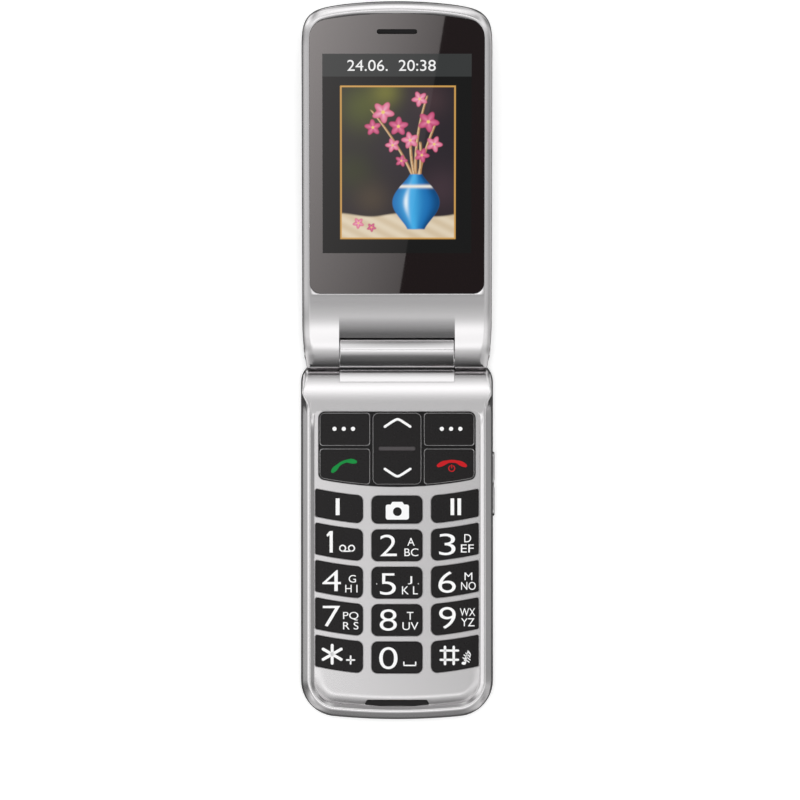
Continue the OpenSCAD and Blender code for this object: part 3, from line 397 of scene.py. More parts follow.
def base_outline(inset, near, near_r):
    """The base's outline drawn in, anticlockwise in (x, d): corners beside the hinge, sides and bowed end.
    It starts at the middle of the near edge, so that point j mirrors point n - 1 - j."""
    half = BASE_HALF - inset
    end = bowed_end(half, BASE_LEN - inset, FAR_BOW_R - inset, FAR_CORNER_R - inset)
    across = np.linspace(0, half - near_r, 22)
    near_run = np.c_[across[:-1] + across[1] / 2, np.full(21, near)]
    right = np.concatenate([near_run, arc((half - near_r, near + near_r), near_r, 270, 360, 10),
                            side_run(half, near + near_r, end[0, 1], 40)])
    return np.concatenate([right, end, right[::-1] * [-1, 1]])


def taper(u):
    """How far the lid's sides draw in beside the hinge: an arc of 67 mm over the nearest 9 mm."""
    return np.where(u < 9, (9 - u) ** 2 / (2 * 67), 0)


def smooth_curve(x, table):
    """A cubic through the points of a table with the slopes of their neighbours."""
    xs, ys = np.asarray(table, float).T
    slope = np.gradient(ys, xs)
    i = np.clip(np.searchsorted(xs, x) - 1, 0, len(xs) - 2)
    h = xs[i + 1] - xs[i]
    t = np.clip((x - xs[i]) / h, 0, 1)
    return ((2 * t ** 3 - 3 * t ** 2 + 1) * ys[i] + (t ** 3 - 2 * t ** 2 + t) * h * slope[i]
            + (3 * t ** 2 - 2 * t ** 3) * ys[i + 1] + (t ** 3 - t ** 2) * h * slope[i + 1])


def traced(table, count):
    """The curve through a table's points, at equal steps along its first value."""
    x = np.linspace(table[0][0], table[-1][0], count)
    return np.c_[x, smooth_curve(x, table)]


# The lid's face over u beside the hinge: the chin rises to the crest of the arms
CHIN = [(-4.2, 2.568), (-0.3, 2.568), (0.3, 2.566), (0.9, 2.545), (1.6, 2.496), (2.4, 2.402), (3.2, 2.275),
        (4, 2.13), (4.8, 1.981), (5.6, 1.834), (6.4, 1.693), (7.4, 1.53), (8.4, 1.391), (9.4, 1.278),
        (10.4, 1.19), (11.4, 1.124), (12.4, 1.077), (13.4, 1.045), (14.4, 1.025), (15.4, 1.013), (16.4, 1.0)]
# The arms' far side: radius about the axis over the angle from the lid's plane
ARM_TURN = [(85, 2.577), (90, 2.569), (95, 2.579), (100, 2.606), (105, 2.65), (110, 2.715), (115, 2.8),
            (120, 2.907), (125, 3.037), (130, 3.191), (135, 3.364), (140, 3.551), (145, 3.734), (150, 3.87),
            (155, 3.93), (162, 3.9), (170, 3.75), (190, 3.45), (220, 3.25), (270, 3.2)]
# The lip over the barrel, between the arms
LIP = [(4.7, 0.955), (4.9, 0.981), (5.2, 1.018), (5.7, 1.08), (6.3, 1.14), (7, 1.184), (7.8, 1.211),
       (8.6, 1.221), (9.4, 1.216), (10.2, 1.191), (10.8, 1.158), (11.4, 1.124)]
# The top of the barrel over the distance from the axis, and the block in front of it
BARREL = [(-4.28, 1.0), (-4.1, 1.58), (-3.9, 2.02), (-3.7, 2.36), (-3.5, 2.64), (-3.3, 2.88), (-3.1, 3.05),
          (-2.9, 3.165), (-2.6, 3.258), (-2.2, 3.36), (-1.8, 3.445), (-1.5, 3.5), (-1.3, 3.53),
          (-1.15, 3.55), (-1, 3.558), (-0.85, 3.55), (-0.6, 3.523), (-0.2, 3.458), (0.3, 3.341),
          (0.8, 3.185), (1.3, 2.995), (1.8, 2.776), (2.3, 2.523), (2.8, 2.215), (3.15, 1.94), (3.45, 1.6)]
BLOCK = [(2.4, 12.2), (2.9, 11.3), (3.4, 10.6), (3.8, 10.15), (4.05, 9.95), (4.3, 9.912), (4.5, 10.045),
         (4.75, 10.223), (5, 10.354), (5.3, 10.470), (5.6, 10.557), (6, 10.650), (6.4, 10.722), (6.8, 10.784),
         (7.3, 10.856), (7.8, 10.926)]
# The base's end beside the hinge
SHOULDER = [(2.2, 5.6), (3.6, 7.904), (3.8, 8.491), (4, 8.925), (4.3, 9.384), (4.7, 9.78), (5.2, 10.106),
            (5.8, 10.384), (6.4, 10.59), (7, 10.755), (8, 10.964), (9, 11.117), (10, 11.23), (11, 11.308),
            (12, 11.359), (13, 11.389), (14, 11.399), (16, 11.4)]


# The lid's far end: radius of curvature over the angle from straight ahead, in degrees
END_ANGLES, END_RADII = [0, 5, 9, 14, 20, 26, 70, 80, 90], [155, 140, 55, 24, 14, 8, 7.8, 18, 40]
LID_TIP = LID_LEN - 0.3
LID_STATIONS = np.concatenate([[-4.1, -3.2, -2.4, -1.6], np.linspace(-0.8, 17, 45)])


def lid_end(inset, steps=44):
    """The lid's far end drawn in, at equal distances from the right side to the left."""
    angle = np.linspace(0, math.pi / 2, 1801)
    step = np.interp(np.degrees(angle), END_ANGLES, END_RADII) * angle[1]
    x, drop = np.cumsum(step * np.cos(angle)), np.cumsum(step * np.sin(angle))
    x, drop = (x - x[0]) * LID_HALF / (x[-1] - x[0]), drop * LID_HALF / x[-1]
    at = np.interp(np.linspace(1, 0, steps + 1), np.cumsum(step) / np.sum(step), angle)
    at[-1] = 0
    half = np.c_[np.interp(at, angle, x) - inset * np.sin(at),
                 LID_TIP - np.interp(at, angle, drop) - inset * np.cos(at)]
    return np.concatenate([half, half[-2::-1] * [-1, 1]])


def lid_outline(inset):
    """The lid's outline drawn in, anticlockwise in (x, u), with sides that taper in beside the hinge."""
    u = LID_STATIONS
    wide = np.where(u < 5, 1 + 0.06 * (5 - u), 1)
    right = np.c_[LID_HALF - taper(u) - inset * wide, u]
    end = lid_end(inset)
    run = side_run(LID_HALF - inset, u[-1], end[0, 1], 24)
    return np.concatenate([right, run, end, run[::-1] * [-1, 1], right[::-1] * [-1, 1]])


def window_outline(grow):
    half, r, near = WINDOW_HALF + grow, 3 + grow, WINDOW_NEAR - grow
    return np.concatenate([arc((half - r, near + r), r, 270, 360, 12),
                           bowed_end(half, WINDOW_FAR + grow, 113.6, 5 + grow),
                           arc((-half + r, near + r), r, 180, 270, 12)])


# ---- lid ----
# Room for the barrel: its circle grown, and the space above the lip
lid_notch = prism(np.concatenate([arc((0, 0), 4.75, 90, 270, 40), [[LIP[0][0], -4.75]], traced(LIP, 40),
                                  [[11.5, 1.3], [11.5, 8], [0, 8]]]),
                  -ROOM_HALF, ROOM_HALF, in_lid)
# Each ring of the lid's frame: inset, height, and how much of the chin's rise it has
rim = [(0, SPLIT_W, 0), (0, -1.1, 0), (0.01, -0.6, 0.5), (0.03, -0.2, 0.9), (0.06, 0.04, 1), (0.13, 0.15, 1),
       (0.3, 0.28, 1), (0.5, 0.41, 1), (0.7, 0.52, 1), (1.0, 0.65, 1), (1.3, 0.76, 1), (1.6, 0.86, 1),
       (1.85, 0.94, 1), (2.1, 0.99, 1), (2.4, 1.0, 1)]
rings = []
for inset, w, share in rim:
    edge = lid_outline(inset)
    rings.append(in_lid(*edge.T, w + share * (smooth_curve(edge[:, 1], CHIN) - FACE_W)))
turn = np.linspace(90, 270, 60)
arms = prism(np.concatenate([arc((0, 0), smooth_curve(turn, ARM_TURN), 90, 270, 59),
                             [[0, SPLIT_W - 1], [200, SPLIT_W - 1], [200, 8], [0, 8]]]), -40, 40, in_lid)
SEAT = [(0.03, -0.15), (0.03, 0.84), (0.05, 0.93), (0.1, 0.985), (0.16, 1.02), (0.2, 6)]
seat = lofted([level(in_lid, window_outline(grow), w) for grow, w in SEAT])
new_piece("lid_frame", *carve(lofted(rings), [lid_notch, seat], [arms]), "silver_paint_lid", "lid",
          ["lid_front_frame"], 32)

# The caps over the ends of the hinge: discs that follow the arms' sides
for side, name, replaced in ((-1, "cap_left", ["hinge_caps"]), (1, "cap_right", [])):
    rings = []
    for r, out in ((1.7, -1.2), (1.7, 0.02), (1.66, 0.05), (1.55, 0.07), (0.5, 0.08)):
        u, w = circle(0, 0, r).T
        rings.append(in_lid(side * (LID_HALF - taper(u) + out), u, w))
    new_piece(name, *lofted(rings), "silver_trim", "lid", replaced, 32)

# ---- base ----
def outward_normals(points):
    ahead = np.roll(points, -1, 0) - np.roll(points, 1, 0)
    ahead /= np.linalg.norm(ahead, axis=1)[:, None]
    return np.c_[ahead[:, 1], -ahead[:, 0]]


# Each ring of the frame: inset at the sides, near edge, its corners, and height. Beside the hinge the sides
# keep only a small rounding, and the rim's slope and inner bevel grow in over a few mm further down
FRAME_RINGS = [(0, 2.2, 5.5, SPLIT_Z), (0, 2.2, 5.5, 7.6), (0, 2.25, 5.5, 8.7), (0.04, 2.35, 5.5, 9.2),
               (0.14, 2.6, 5.5, 9.65), (0.3, 3.0, 5.4, 9.95), (0.55, 3.6, 5.3, 10.22), (0.85, 4.3, 5.1, 10.47),
               (1.15, 5.1, 4.9, 10.71), (1.45, 6.0, 4.7, 10.95), (1.7, 6.9, 4.5, 11.15), (1.9, 7.8, 4.3, 11.28),
               (2.1, 8.7, 3.9, 11.37), (2.35, 9.7, 3.5, 11.4), (2.6, 10.8, 3.2, 11.4), (2.72, 11.9, 3.0, 11.36),
               (2.86, 13.2, 2.6, 11.28), (3.2, 14.6, 2.0, 11.1), (3.5, 15.6, 1.6, 10.94),
               (3.58, 15.85, 1.4, 10.86), (3.6, 15.9, 1.3, 10.7), (3.6, 15.92, 1.3, 9.4)]
# Round the far end the outer slope is shallower: heights of the table, and what they become there
SIDE_Z, END_Z = [8.7, 9.2, 9.65, 9.95, 11.4], [8.7, 9.85, 10.6, 10.86, 11.4]
# Rings in between make the slope and the crest smooth
table = np.array(FRAME_RINGS)
last = len(table) - 3
share = np.r_[0:4, 4:10:0.2, 10:last:0.5, last:len(table)]
rings = []
for inset, near, near_r, z in zip(*(np.interp(share, np.arange(len(table)), column) for column in table.T)):
    edge = base_outline(inset, near, near_r)
    normal = outward_normals(edge)
    grown = 0.12 + 0.88 * eased(edge[:, 1], 10.7, 14.8)
    x, d = (edge + (inset * (1 - grown) * normal[:, 0] ** 2)[:, None] * normal).T
    height = np.full(len(x), z)
    if inset < 2.35 and z > SIDE_Z[0]:
        height += (np.interp(z, SIDE_Z, END_Z) - z) * eased(d, 92.5, 98.5)
    if inset > 2.7 and z > 10.8:
        height = BASE_TOP - (BASE_TOP - z) * eased(d, 16.3, 20.5)
    if z > 9.4:
        height = np.minimum(height, np.maximum(smooth_curve(d, SHOULDER), 6.6))
    rings.append(in_base(x, d, height))
# The barrel's room is turned inside out, so that it doesn't cut the frame but doubles its surface there, which
# shows dark between the arms
points, faces = box(-ROOM_HALF, ROOM_HALF, 0, 7.95, SPLIT_Z - 1, 20)
barrel_room = points, [face[::-1] for face in faces]
NOTCH_TOP, NOTCH_LOW, NOTCH_IN, NOTCH_OUT = BASE_LEN - 5.35, BASE_LEN - 4.0, 8.2, 9.25


def notch_outline(grow):
    """The notch at the far end: a bar with slanted ends and a bowed far edge."""
    top, low, deep = NOTCH_TOP - grow, NOTCH_LOW + grow, NOTCH_LOW + 0.35 + grow
    return rounded([[-NOTCH_IN - grow, top], [NOTCH_IN + grow, top], [NOTCH_OUT + grow, low], [4.6, deep],
                    [-4.6, deep], [-NOTCH_OUT - grow, low]], [0.3, 0.3, 0.35, 12, 12, 0.35], 5)


new_piece("base_frame", *carve(lofted(rings), [barrel_room, raised(notch_outline(0), 5, 13)]),
          "silver_paint_base", "base", ["base_front_frame"], 32)

# The middle barrel, the block it grows from, and a black strip between them: painted shade that closes the gap
# where the neck would show
block = np.concatenate([traced(BLOCK, 40), [[7.8, SPLIT_Z], [2.6, SPLIT_Z - 0.4]]])
new_piece("barrel_block", *prism(block, -BARREL_HALF, BARREL_HALF, in_base), "silver_paint_base", "base")
# A black box in the gap between block and barrel: painted shade, not a part of the phone
new_piece("barrel_gap_shade", *box(-BARREL_HALF, BARREL_HALF, 3.2, 4.42, 9.0, 10.12), "rubber_black", "base")
ring = np.concatenate([traced(BARREL, 90), [[3.5, 1.5], [3.52, 1.0], [3.52, 0.0]],
                       arc((0, 0), 4.3, -35, -192, 50)])
d, w = np.roll(ring, 30, 0).T
# Rounding of the barrel's ends: distance from the middle, and how much of the ring is left there
ends = [(BARREL_HALF - back, share) for back, share in ((0.4, 1), (0.2, 0.993), (0.06, 0.97), (0, 0.93))]
ends = [(-x, share) for x, share in ends[::-1]] + ends
rings = [in_base(np.full(len(d), x), share * d, AXIS_Z + share * w) for x, share in ends]
new_piece("barrel", *lofted(rings), "silver_paint_base", "base", ["hinge_barrel"])


# ---- keypad ----
def inside(points, polygon):
    """Whether each point lies in a closed polygon, by counting the sides that a ray crosses."""
    a, b = polygon, np.roll(polygon, -1, 0)
    x, y = points[:, :1], points[:, 1:]
    spans = (a[:, 1] > y) != (b[:, 1] > y)
    with np.errstate(divide="ignore", invalid="ignore"):
        cross = a[:, 0] + (y - a[:, 1]) * (b[:, 0] - a[:, 0]) / (b[:, 1] - a[:, 1])
    return (spans & (x < cross)).sum(1) % 2 == 1


def filled(loops, spacing):
    """Triangles over the area of the first loop less the others, on the loops' points and a grid inside."""
    lo, hi = loops[0].min(0), loops[0].max(0)
    grid = np.stack(np.meshgrid(np.arange(lo[0] + spacing / 2, hi[0], spacing),
                                np.arange(lo[1] + spacing / 2, hi[1], spacing)), -1).reshape(-1, 2)
    for i, loop in enumerate(loops):
        grid = grid[inside(grid, drawn_in(loop, spacing * 0.4)) == (i == 0)]
    points = np.concatenate([*loops, grid])
    sides, start = [], 0
    for loop in loops:
        j = np.arange(len(loop))
        sides += (np.c_[j, (j + 1) % len(loop)] + start).tolist()
        start += len(loop)
    found = geometry.delaunay_2d_cdt([Vector(p) for p in points.tolist()], sides, [], 0, 1e-7)
    made, triangles, origin = np.array([tuple(v) for v in found[0]]), np.array(found[2]), found[3]
    middle = made[triangles].mean(1)
    keep = inside(middle, loops[0])
    for loop in loops[1:]:
        keep &= ~inside(middle, loop)
    if not all(origin):
        raise ValueError("two outlines of a plate cross")
    return points, np.array([o[0] for o in origin])[triangles[keep]].tolist()


def slab(name, outer, top, low, radius, slot, body, replaces=(), holes=(), spacing=1.5, margin=0.1,
         material=None):
    """A plate with rounded upper edges. Top gives its height at x and d, low its underside, and each
    edge turns down through a quarter circle of the given radius. A flat margin lies beside the turn."""
    loops = [anticlockwise(outer)] + [anticlockwise(hole)[::-1] for hole in holes]
    turn = np.radians(np.linspace(0, 90, 6))
    steps = list(zip(radius * (1 - np.sin(turn)), radius * (1 - np.cos(turn))))
    flat, triangles = filled([drawn_in(loop, radius + margin) for loop in loops], spacing)
    n = len(flat)
    points = [in_base(*flat.T, top(*flat.T)), level(in_base, flat, low)]
    faces = triangles + [[a + n for a in t[::-1]] for t in triangles]
    first, start = 2 * n, 0
    for loop in loops:
        m = len(loop)
        edges = [drawn_in(loop, inset) for inset, drop in steps]
        points += [in_base(*edge.T, top(*edge.T) - drop) for edge, (inset, drop) in zip(edges, steps)]
        points.append(level(in_base, loop, low))
        ids = [start, *(first + m * i for i in range(len(steps) + 1)), start + n]
        for upper, lower in zip(ids, ids[1:]):
            j = np.arange(m)
            k = (j + 1) % m
            faces += np.stack([lower + j, lower + k, upper + k, upper + j], -1).tolist()
        first += m * (len(steps) + 1)
        start += m
    points = np.concatenate(points)
    return new_piece(name, points, outward(points, faces), slot, body, replaces, 35, material)


def rect(x0, x1, d0, d1, r):
    return split_long(rounded([[x0, d0], [x1, d0], [x1, d1], [x0, d1]], [r] * 4), LONGEST_SIDE)


def row_bow(x):
    return (np.maximum(x * x, KEY_IN ** 2) - KEY_IN ** 2) / (2 * ROW_BOW_R)


def grid_key(column, row, grow=0.0):
    """Outline of a grid key: the side ones run up outwards along the row's bow. Row -1 is the memory row."""
    top, length = (MEMORY_ROW, MEMORY_LEN) if row < 0 else (FIRST_ROW + row * ROW_PITCH, KEY_LEN)
    top, low, r = top - grow, top + length + grow, KEY_R + grow
    if column == 0:
        return rect(-MIDDLE_HALF - grow, MIDDLE_HALF + grow, top, low, r)
    shares = np.array([0, 0.26, 0.34, 0.42, 0.5, 0.58, 0.66, 0.74, 1])
    x = KEY_IN - grow + (KEY_OUT - KEY_IN + 2 * grow) * shares
    edge = np.concatenate([np.c_[x, top - row_bow(x)], np.c_[x, low - row_bow(x)][::-1]])
    none = [0] * 7
    return split_long(rounded(edge, [r, *none, 0.5 + grow, 0.5 + grow, *none, r]), LONGEST_SIDE) * [column, 1]


def panel_low(x, grow=0.0):
    """The panel's far edge: points along its bow."""
    return np.c_[x, PANEL_FAR + grow - x * x / (2 * ROW_BOW_R)].tolist()


def panel_key(side, lower, grow=0.0):
    """Outline of a soft key, or of the lower one, whose far edge follows the panel's."""
    x0, x1, r = SOFT_IN - grow, PANEL_HALF - PANEL_EDGE + grow, 1.2 + 2 * grow
    if lower:
        points = rounded([[x0, CALL_NEAR - grow], [x1, CALL_NEAR - grow],
                          *panel_low(np.linspace(x1, x0, 9), grow - PANEL_EDGE)], [0.8, 0.8, r, *[0] * 7, 0.8])
    else:
        top = PANEL_NEAR + PANEL_EDGE - grow
        points = rounded([[x0, top], [x1, top], [x1, SOFT_FAR + grow], [x0, SOFT_FAR + grow]],
                         [0.8, r, 0.8, 0.8])
    return split_long(points, LONGEST_SIDE) * [side, 1]


def nav_outline(grow=0.0):
    return rect(-NAV_HALF - grow, NAV_HALF + grow, PANEL_NEAR + PANEL_EDGE - grow,
                PANEL_FAR - PANEL_EDGE - 0.3 + grow, 1.4 + grow)


def panel_outline(grow=0.0):
    half, top = PANEL_HALF + grow, PANEL_NEAR - grow
    return split_long(rounded([[-half, top], [half, top], *panel_low(np.linspace(half, -half, 13), grow)],
                              [1.8, 1.8, 1.8, *[0] * 11, 1.8]), LONGEST_SIDE)


def crown_top(lift, fall=0.0):
    """Height over the crown, with a soft fall towards the outer edge of the side keys."""
    return lambda x, d: crowned(x, PLATE_TOP + lift) - fall * np.clip((abs(x) - 21.1) / 1.5, 0, 1) ** 2


PLATE_EDGE = base_outline(3.65, 15.45, 1.2)
PLATE_RIM = split_long(PLATE_EDGE, 0.4)
PLATE_RIM = PLATE_RIM[PLATE_RIM[:, 1] > 84]
ROLL, ROLL_FALL, BAY_OUT = 2.6, 0.63, 9.7


def notched(edge):
    """The plate's outline, with an open bay at its far edge round the notch."""
    bay = (edge[:, 1] > NOTCH_TOP) & (abs(edge[:, 0]) < BAY_OUT)
    turned = -int(np.flatnonzero(bay & ~np.roll(bay, -1))[-1]) - 1
    edge, bay = np.roll(edge, turned, 0), np.roll(bay, turned)
    kept, mouth = edge[~bay], NOTCH_OUT - 0.03
    side = np.sign(kept[-1, 0])
    at_mouth = float(np.interp(mouth, *zip(*sorted((abs(x), d) for x, d in edge if d > NOTCH_TOP))))
    corners = [[side * mouth, at_mouth], [side * (NOTCH_IN + 0.04), NOTCH_TOP - 0.05]]
    corners += [[-x, d] for x, d in corners[::-1]]
    return split_long(rounded([*kept.tolist(), *corners], [0] * len(kept) + [0.3] * 4, 5), 1.5)


def plate_top(x, d):
    """The plate's crown, which rolls down to the frame round the far end."""
    to_rim = np.linalg.norm(np.stack([x, d], -1)[:, None] - PLATE_RIM, axis=-1).min(1)
    return crowned(x) - ROLL_FALL * eased(d, 86, 94) * np.clip(1 - to_rim / ROLL, 0, 1) ** 1.5


SIDES = (-1, 1)
GRID_NAMES = {(-1, -1): "memory_key_1", (0, -1): "camera_key", (1, -1): "memory_key_2", (-1, 3): "key_star",
              (0, 3): "key_0", (1, 3): "key_hash",
              **{(c, r): f"key_{r * 3 + c + 2}" for r in range(3) for c in (-1, 0, 1)}}
# Only 0.1 mm of the plate is left beside the side keys, so its edges turn tightly
slab("keypad_face", notched(PLATE_EDGE), plate_top, PLATE_LOW, 0.035, "silver_paint_plate", "base",
     ["keypad_plate"], [grid_key(*at, KEY_GAP) for at in sorted(GRID_NAMES, key=lambda at: at[::-1])]
     + [panel_outline(0.1)], 0.5, 0.01)
slab("function_face", panel_outline(), crown_top(0.15), PLATE_LOW, 0.03, "gloss_black", "base",
     ["function_panel"], [panel_key(side, lower, KEY_GAP) for side in SIDES for lower in (False, True)]
     + [nav_outline(KEY_GAP)])
slab("notch_inlay", notch_outline(-0.05), lambda x, d: np.full(len(x), PLATE_TOP - 0.75), PLATE_LOW, 0.08,
     "rubber_black", "base", ["microphone_insert"])
caps = [(name, grid_key(*at), crown_top(GRID_LIFT, 0.25), 0.28) for at, name in GRID_NAMES.items()]
caps += [(name, panel_key(side, lower), crown_top(PANEL_LIFT), 0.03) for name, side, lower in (
    ("soft_key_left", -1, False), ("soft_key_right", 1, False), ("call_key", -1, True), ("end_key", 1, True))]
for name, outline, top, radius in caps:
    slab(name + "_cap", outline, top, CAP_LOW, radius, "key_black", name + "_body", [name])
slab("nav_cap", nav_outline(), crown_top(PANEL_LIFT), CAP_LOW, 0.04, "key_black", "nav_rocker_body",
     ["nav_rocker"])
# The rocker's ridge, in the lighter grey of a painted highlight
slab("nav_bar", rect(1.45 - NAV_HALF, NAV_HALF - 1.45, 25.675, 26.875, 0.5), crown_top(0.53), 10.5, 0.25,
     "key_black", "nav_rocker_body", spacing=0.6, material=bar_highlight_grey)

# ---- the lid's back ----
BACK_ROUND = [(-7, 2.9), (-6.85, 2.1), (-6.6, 1.4), (-6.1, 0.85), (-5.6, 0.5), (-5.0, 0.25), (-4.4, 0.1),
              (-3.9, 0.02), (SPLIT_W, 0)]
back_arms = prism(np.concatenate([arc((2.2, -4.4), 2.6, 180, 270, 16), [[200, -9], [200, 0], [-0.4, 0]]]),
                  -40, 40, in_lid)
LENS_U, LENS_R, LED_X, LED_R, SCREW_R = LID_LEN - 14.6, 3.25, 8.5, 1.2, 1.6
# Seats of the outer display, the lens, the flash and the screws: outline, and floor
seats = [(rect(-15, 15, LENS_U - 35, LENS_U - 13, 2), -6.05), (circle(0, LENS_U, LENS_R), -6),
         (circle(LED_X, LENS_U, LED_R), -4)] + [(circle(side * 19, 7, SCREW_R, 32), -4.9) for side in SIDES]
shell = lofted([level(in_lid, lid_outline(inset), w) for w, inset in BACK_ROUND])
new_piece("lid_back", *carve(shell, [lid_notch] + [raised(edge, -8, w, square_to_lid) for edge, w in seats],
                             [back_arms]), "lid_back_black", "lid", ["lid_rear_cover"], 32)

# ---- the base's back ----
HOUSING_ROUND = [(0, 2.9), (0.12, 2.15), (0.35, 1.6), (0.75, 1.1), (1.25, 0.75), (1.8, 0.47), (2.4, 0.25),
                 (3.2, 0.08), (4, 0), (SPLIT_Z - 0.05, 0)]
COVER_TOP, COVER_T, BAY_HALF, BOARD_LOW = 22.6, 1.25, 17.3, 6.53
BUTTON_D, BUTTON_R = 15.6, 5.0
shell = lofted([level(in_base, base_outline(inset, NEAR + inset, NEAR_CORNER_R - inset), z)
                for z, inset in HOUSING_ROUND])
# Room for the cover and the battery, the rocker, and the antenna, then the socket's two slots
rooms = [box(-40, 40, COVER_TOP - 0.1, 120, -1, COVER_T + 0.05),
         box(-BAY_HALF, BAY_HALF, COVER_TOP + 2.4, 90.4, -1, BOARD_LOW - 0.8),
         box(24, 40, 27.0, 45.0, 4.65, 9), box(-40, -20.3, 26, 34, 3.68, BOARD_LOW + 0.05)]
rooms += [box(x - 1.6, x + 1.6, BASE_LEN - 1.4, BASE_LEN + 5, 3.2, 4.6) for x in (-5, 5)]
# The speaker's slots, the button's hole and the screws' holes
for x in np.arange(-2, 3) * 1.7 + 14.1:
    slot = np.concatenate([arc((x, 12.9), 0.4, 180, 360, 10), arc((x, 17.9), 0.4, 0, 180, 10)])
    rooms.append(raised(slot, -1, 1.2))
rooms.append(raised(circle(0, BUTTON_D, BUTTON_R + 0.15, 64), -1, 3.4))
rooms += [raised(circle(side * 20.6, 11, SCREW_R, 32), -1, 2.2) for side in SIDES]
new_piece("housing", *carve(shell, rooms), "housing_black", "base", ["base_rear_housing"], 32)
new_piece("cover", *carve(shell, clip=[box(-40, 40, COVER_TOP, 120, -1, COVER_T)]), "housing_black",
          "battery_cover_body", ["battery_cover"], 32)

# The assistance button: a shallow dish with a rounded edge
dish = [(1.5, 0.55), (3, 0.47), (4.1, 0.34), (4.6, 0.3), (4.85, 0.36), (4.97, 0.5), (BUTTON_R, 0.7),
        (BUTTON_R, 1.8)]
new_piece("assistance_button", *lofted([level(in_base, circle(0, BUTTON_D, r, 64), z) for r, z in dish]),
          "red_button", "sos_button_body", ["sos_button"], 32)
# The rocker on the side, with a dip at its middle
profile = anticlockwise(split_long(rounded([[27.15, 4.8], [44.85, 4.8], [44.85, 8.0], [27.15, 8.0]],
                                           [1.2] * 4), 0.6))
rings = []
for x, inset in ((24.7, 0), (26.6, 0), (26.8, 0.05), (26.9, 0.14), (26.95, 0.3)):
    d, z = drawn_in(profile, inset).T
    rings.append(in_base(x - 0.28 * np.exp(-((d - 36) / 0.7) ** 2) * (x > 26.5), d, z))
new_piece("rocker", *lofted(rings), "silver_trim", "side_rocker_body", ["side_rocker"], 32)

# ---- printing on the keys: each shape is a list of (x, d) points and its faces ----
def glyphs(text, x0, x1, d0, d1, thicker=0.0):
    """Outlines of a text, filled and fitted to a box."""
    curve = bpy.data.curves.new("glyphs", "FONT")
    curve.body, curve.offset, curve.resolution_u, curve.size = text, thicker, 6, 1
    piece = bpy.data.objects.new("glyphs", curve)
    bpy.context.scene.collection.objects.link(piece)
    points, faces = evaluated(piece)
    bpy.data.objects.remove(piece)
    lo, hi = points[:, :2].min(0), points[:, :2].max(0)
    x, up = ((points[:, :2] - lo) / (hi - lo)).T
    return np.c_[x0 + x * (x1 - x0), d1 - up * (d1 - d0)], faces


def stroke(path, width, closed=False):
    """A line of the given width, or widths, along a path, with round ends unless it is closed."""
    path = np.asarray(path, float)
    width = np.broadcast_to(np.asarray(width, float), len(path))
    ahead = np.roll(path, -1, 0) - np.roll(path, 1, 0) if closed else np.gradient(path, axis=0)
    ahead /= np.linalg.norm(ahead, axis=1)[:, None]
    side = np.c_[-ahead[:, 1], ahead[:, 0]] * width[:, None] / 2
    n = len(path)
    points = np.concatenate([path + side, path - side])
    j = np.arange(n if closed else n - 1)
    k = (j + 1) % n
    faces = np.stack([j, k, k + n, j + n], -1).tolist()
    if not closed:
        a = np.linspace(-90, 90, 11)[:, None] * math.pi / 180
        for at, sign in ((0, -1), (n - 1, 1)):
            out = ahead[at] * sign
            cap = path[at] + width[at] / 2 * (np.cos(a) * out + np.sin(a) * np.array([-out[1], out[0]]))
            faces.append(list(range(len(points), len(points) + len(a))))
            points = np.concatenate([points, cap])
    return points, faces


def lines(*rows):
    """Straight lines, each from x0, d0 to x1, d1 with its width."""
    return [stroke(np.linspace(row[:2], row[2:4], 6), row[4]) for row in rows]


def disc(x, d, wide, high=None):
    """A dot, or an oval if its half height is given too."""
    return circle(0, 0, 1, 24) * [wide, high or wide] + [x, d], [list(range(24))]


def patch(*loops):
    """The area of the first outline less the others."""
    return filled([anticlockwise(loops[0])] + [anticlockwise(hole)[::-1] for hole in loops[1:]], 1.0)


def chevron(d_end, d_tip):
    """Two arms that meet in a soft tip: the arms' distance grows as the root of x squared plus 0.36."""
    x = np.linspace(-3.5, 3.5, 41)
    rise = (np.sqrt(x * x + 0.36) - 0.6) / (math.sqrt(12.61) - 0.6)
    return stroke(np.c_[x + 0.15, d_tip + (d_end - d_tip) * rise], 0.68)


def handset(points):
    """A telephone handset: a bowed line, thick towards both ends."""
    t = np.linspace(0, len(points) - 1, 30)
    path = np.stack([smooth_curve(t, list(enumerate(row))) for row in zip(*points)], -1)
    q = np.abs(np.linspace(-1, 1, 30))
    return stroke(path, 0.78 + 0.5 * np.clip((q - 0.35) / 0.3, 0, 1) - 0.35 * np.clip((q - 0.85) / 0.15, 0, 1))


def ink(name, body, shapes, lift=PANEL_LIFT, material=white_ink):
    """Print on a crowned top, a few hundredths of a mm proud of it."""
    points, faces, first = [], [], 0
    for flat, polygons in shapes:
        x, d = flat.T
        points.append(in_base(x, d, crowned(x, PLATE_TOP + lift + 0.03)))
        for face in polygons:
            area = sum(x[i] * d[j] - x[j] * d[i] for i, j in zip(face, face[1:] + face[:1]))
            faces.append([i + first for i in (face if area < 0 else face[::-1])])
        first += len(flat)
    new_piece(name, np.concatenate(points), faces, None, body, material=material)


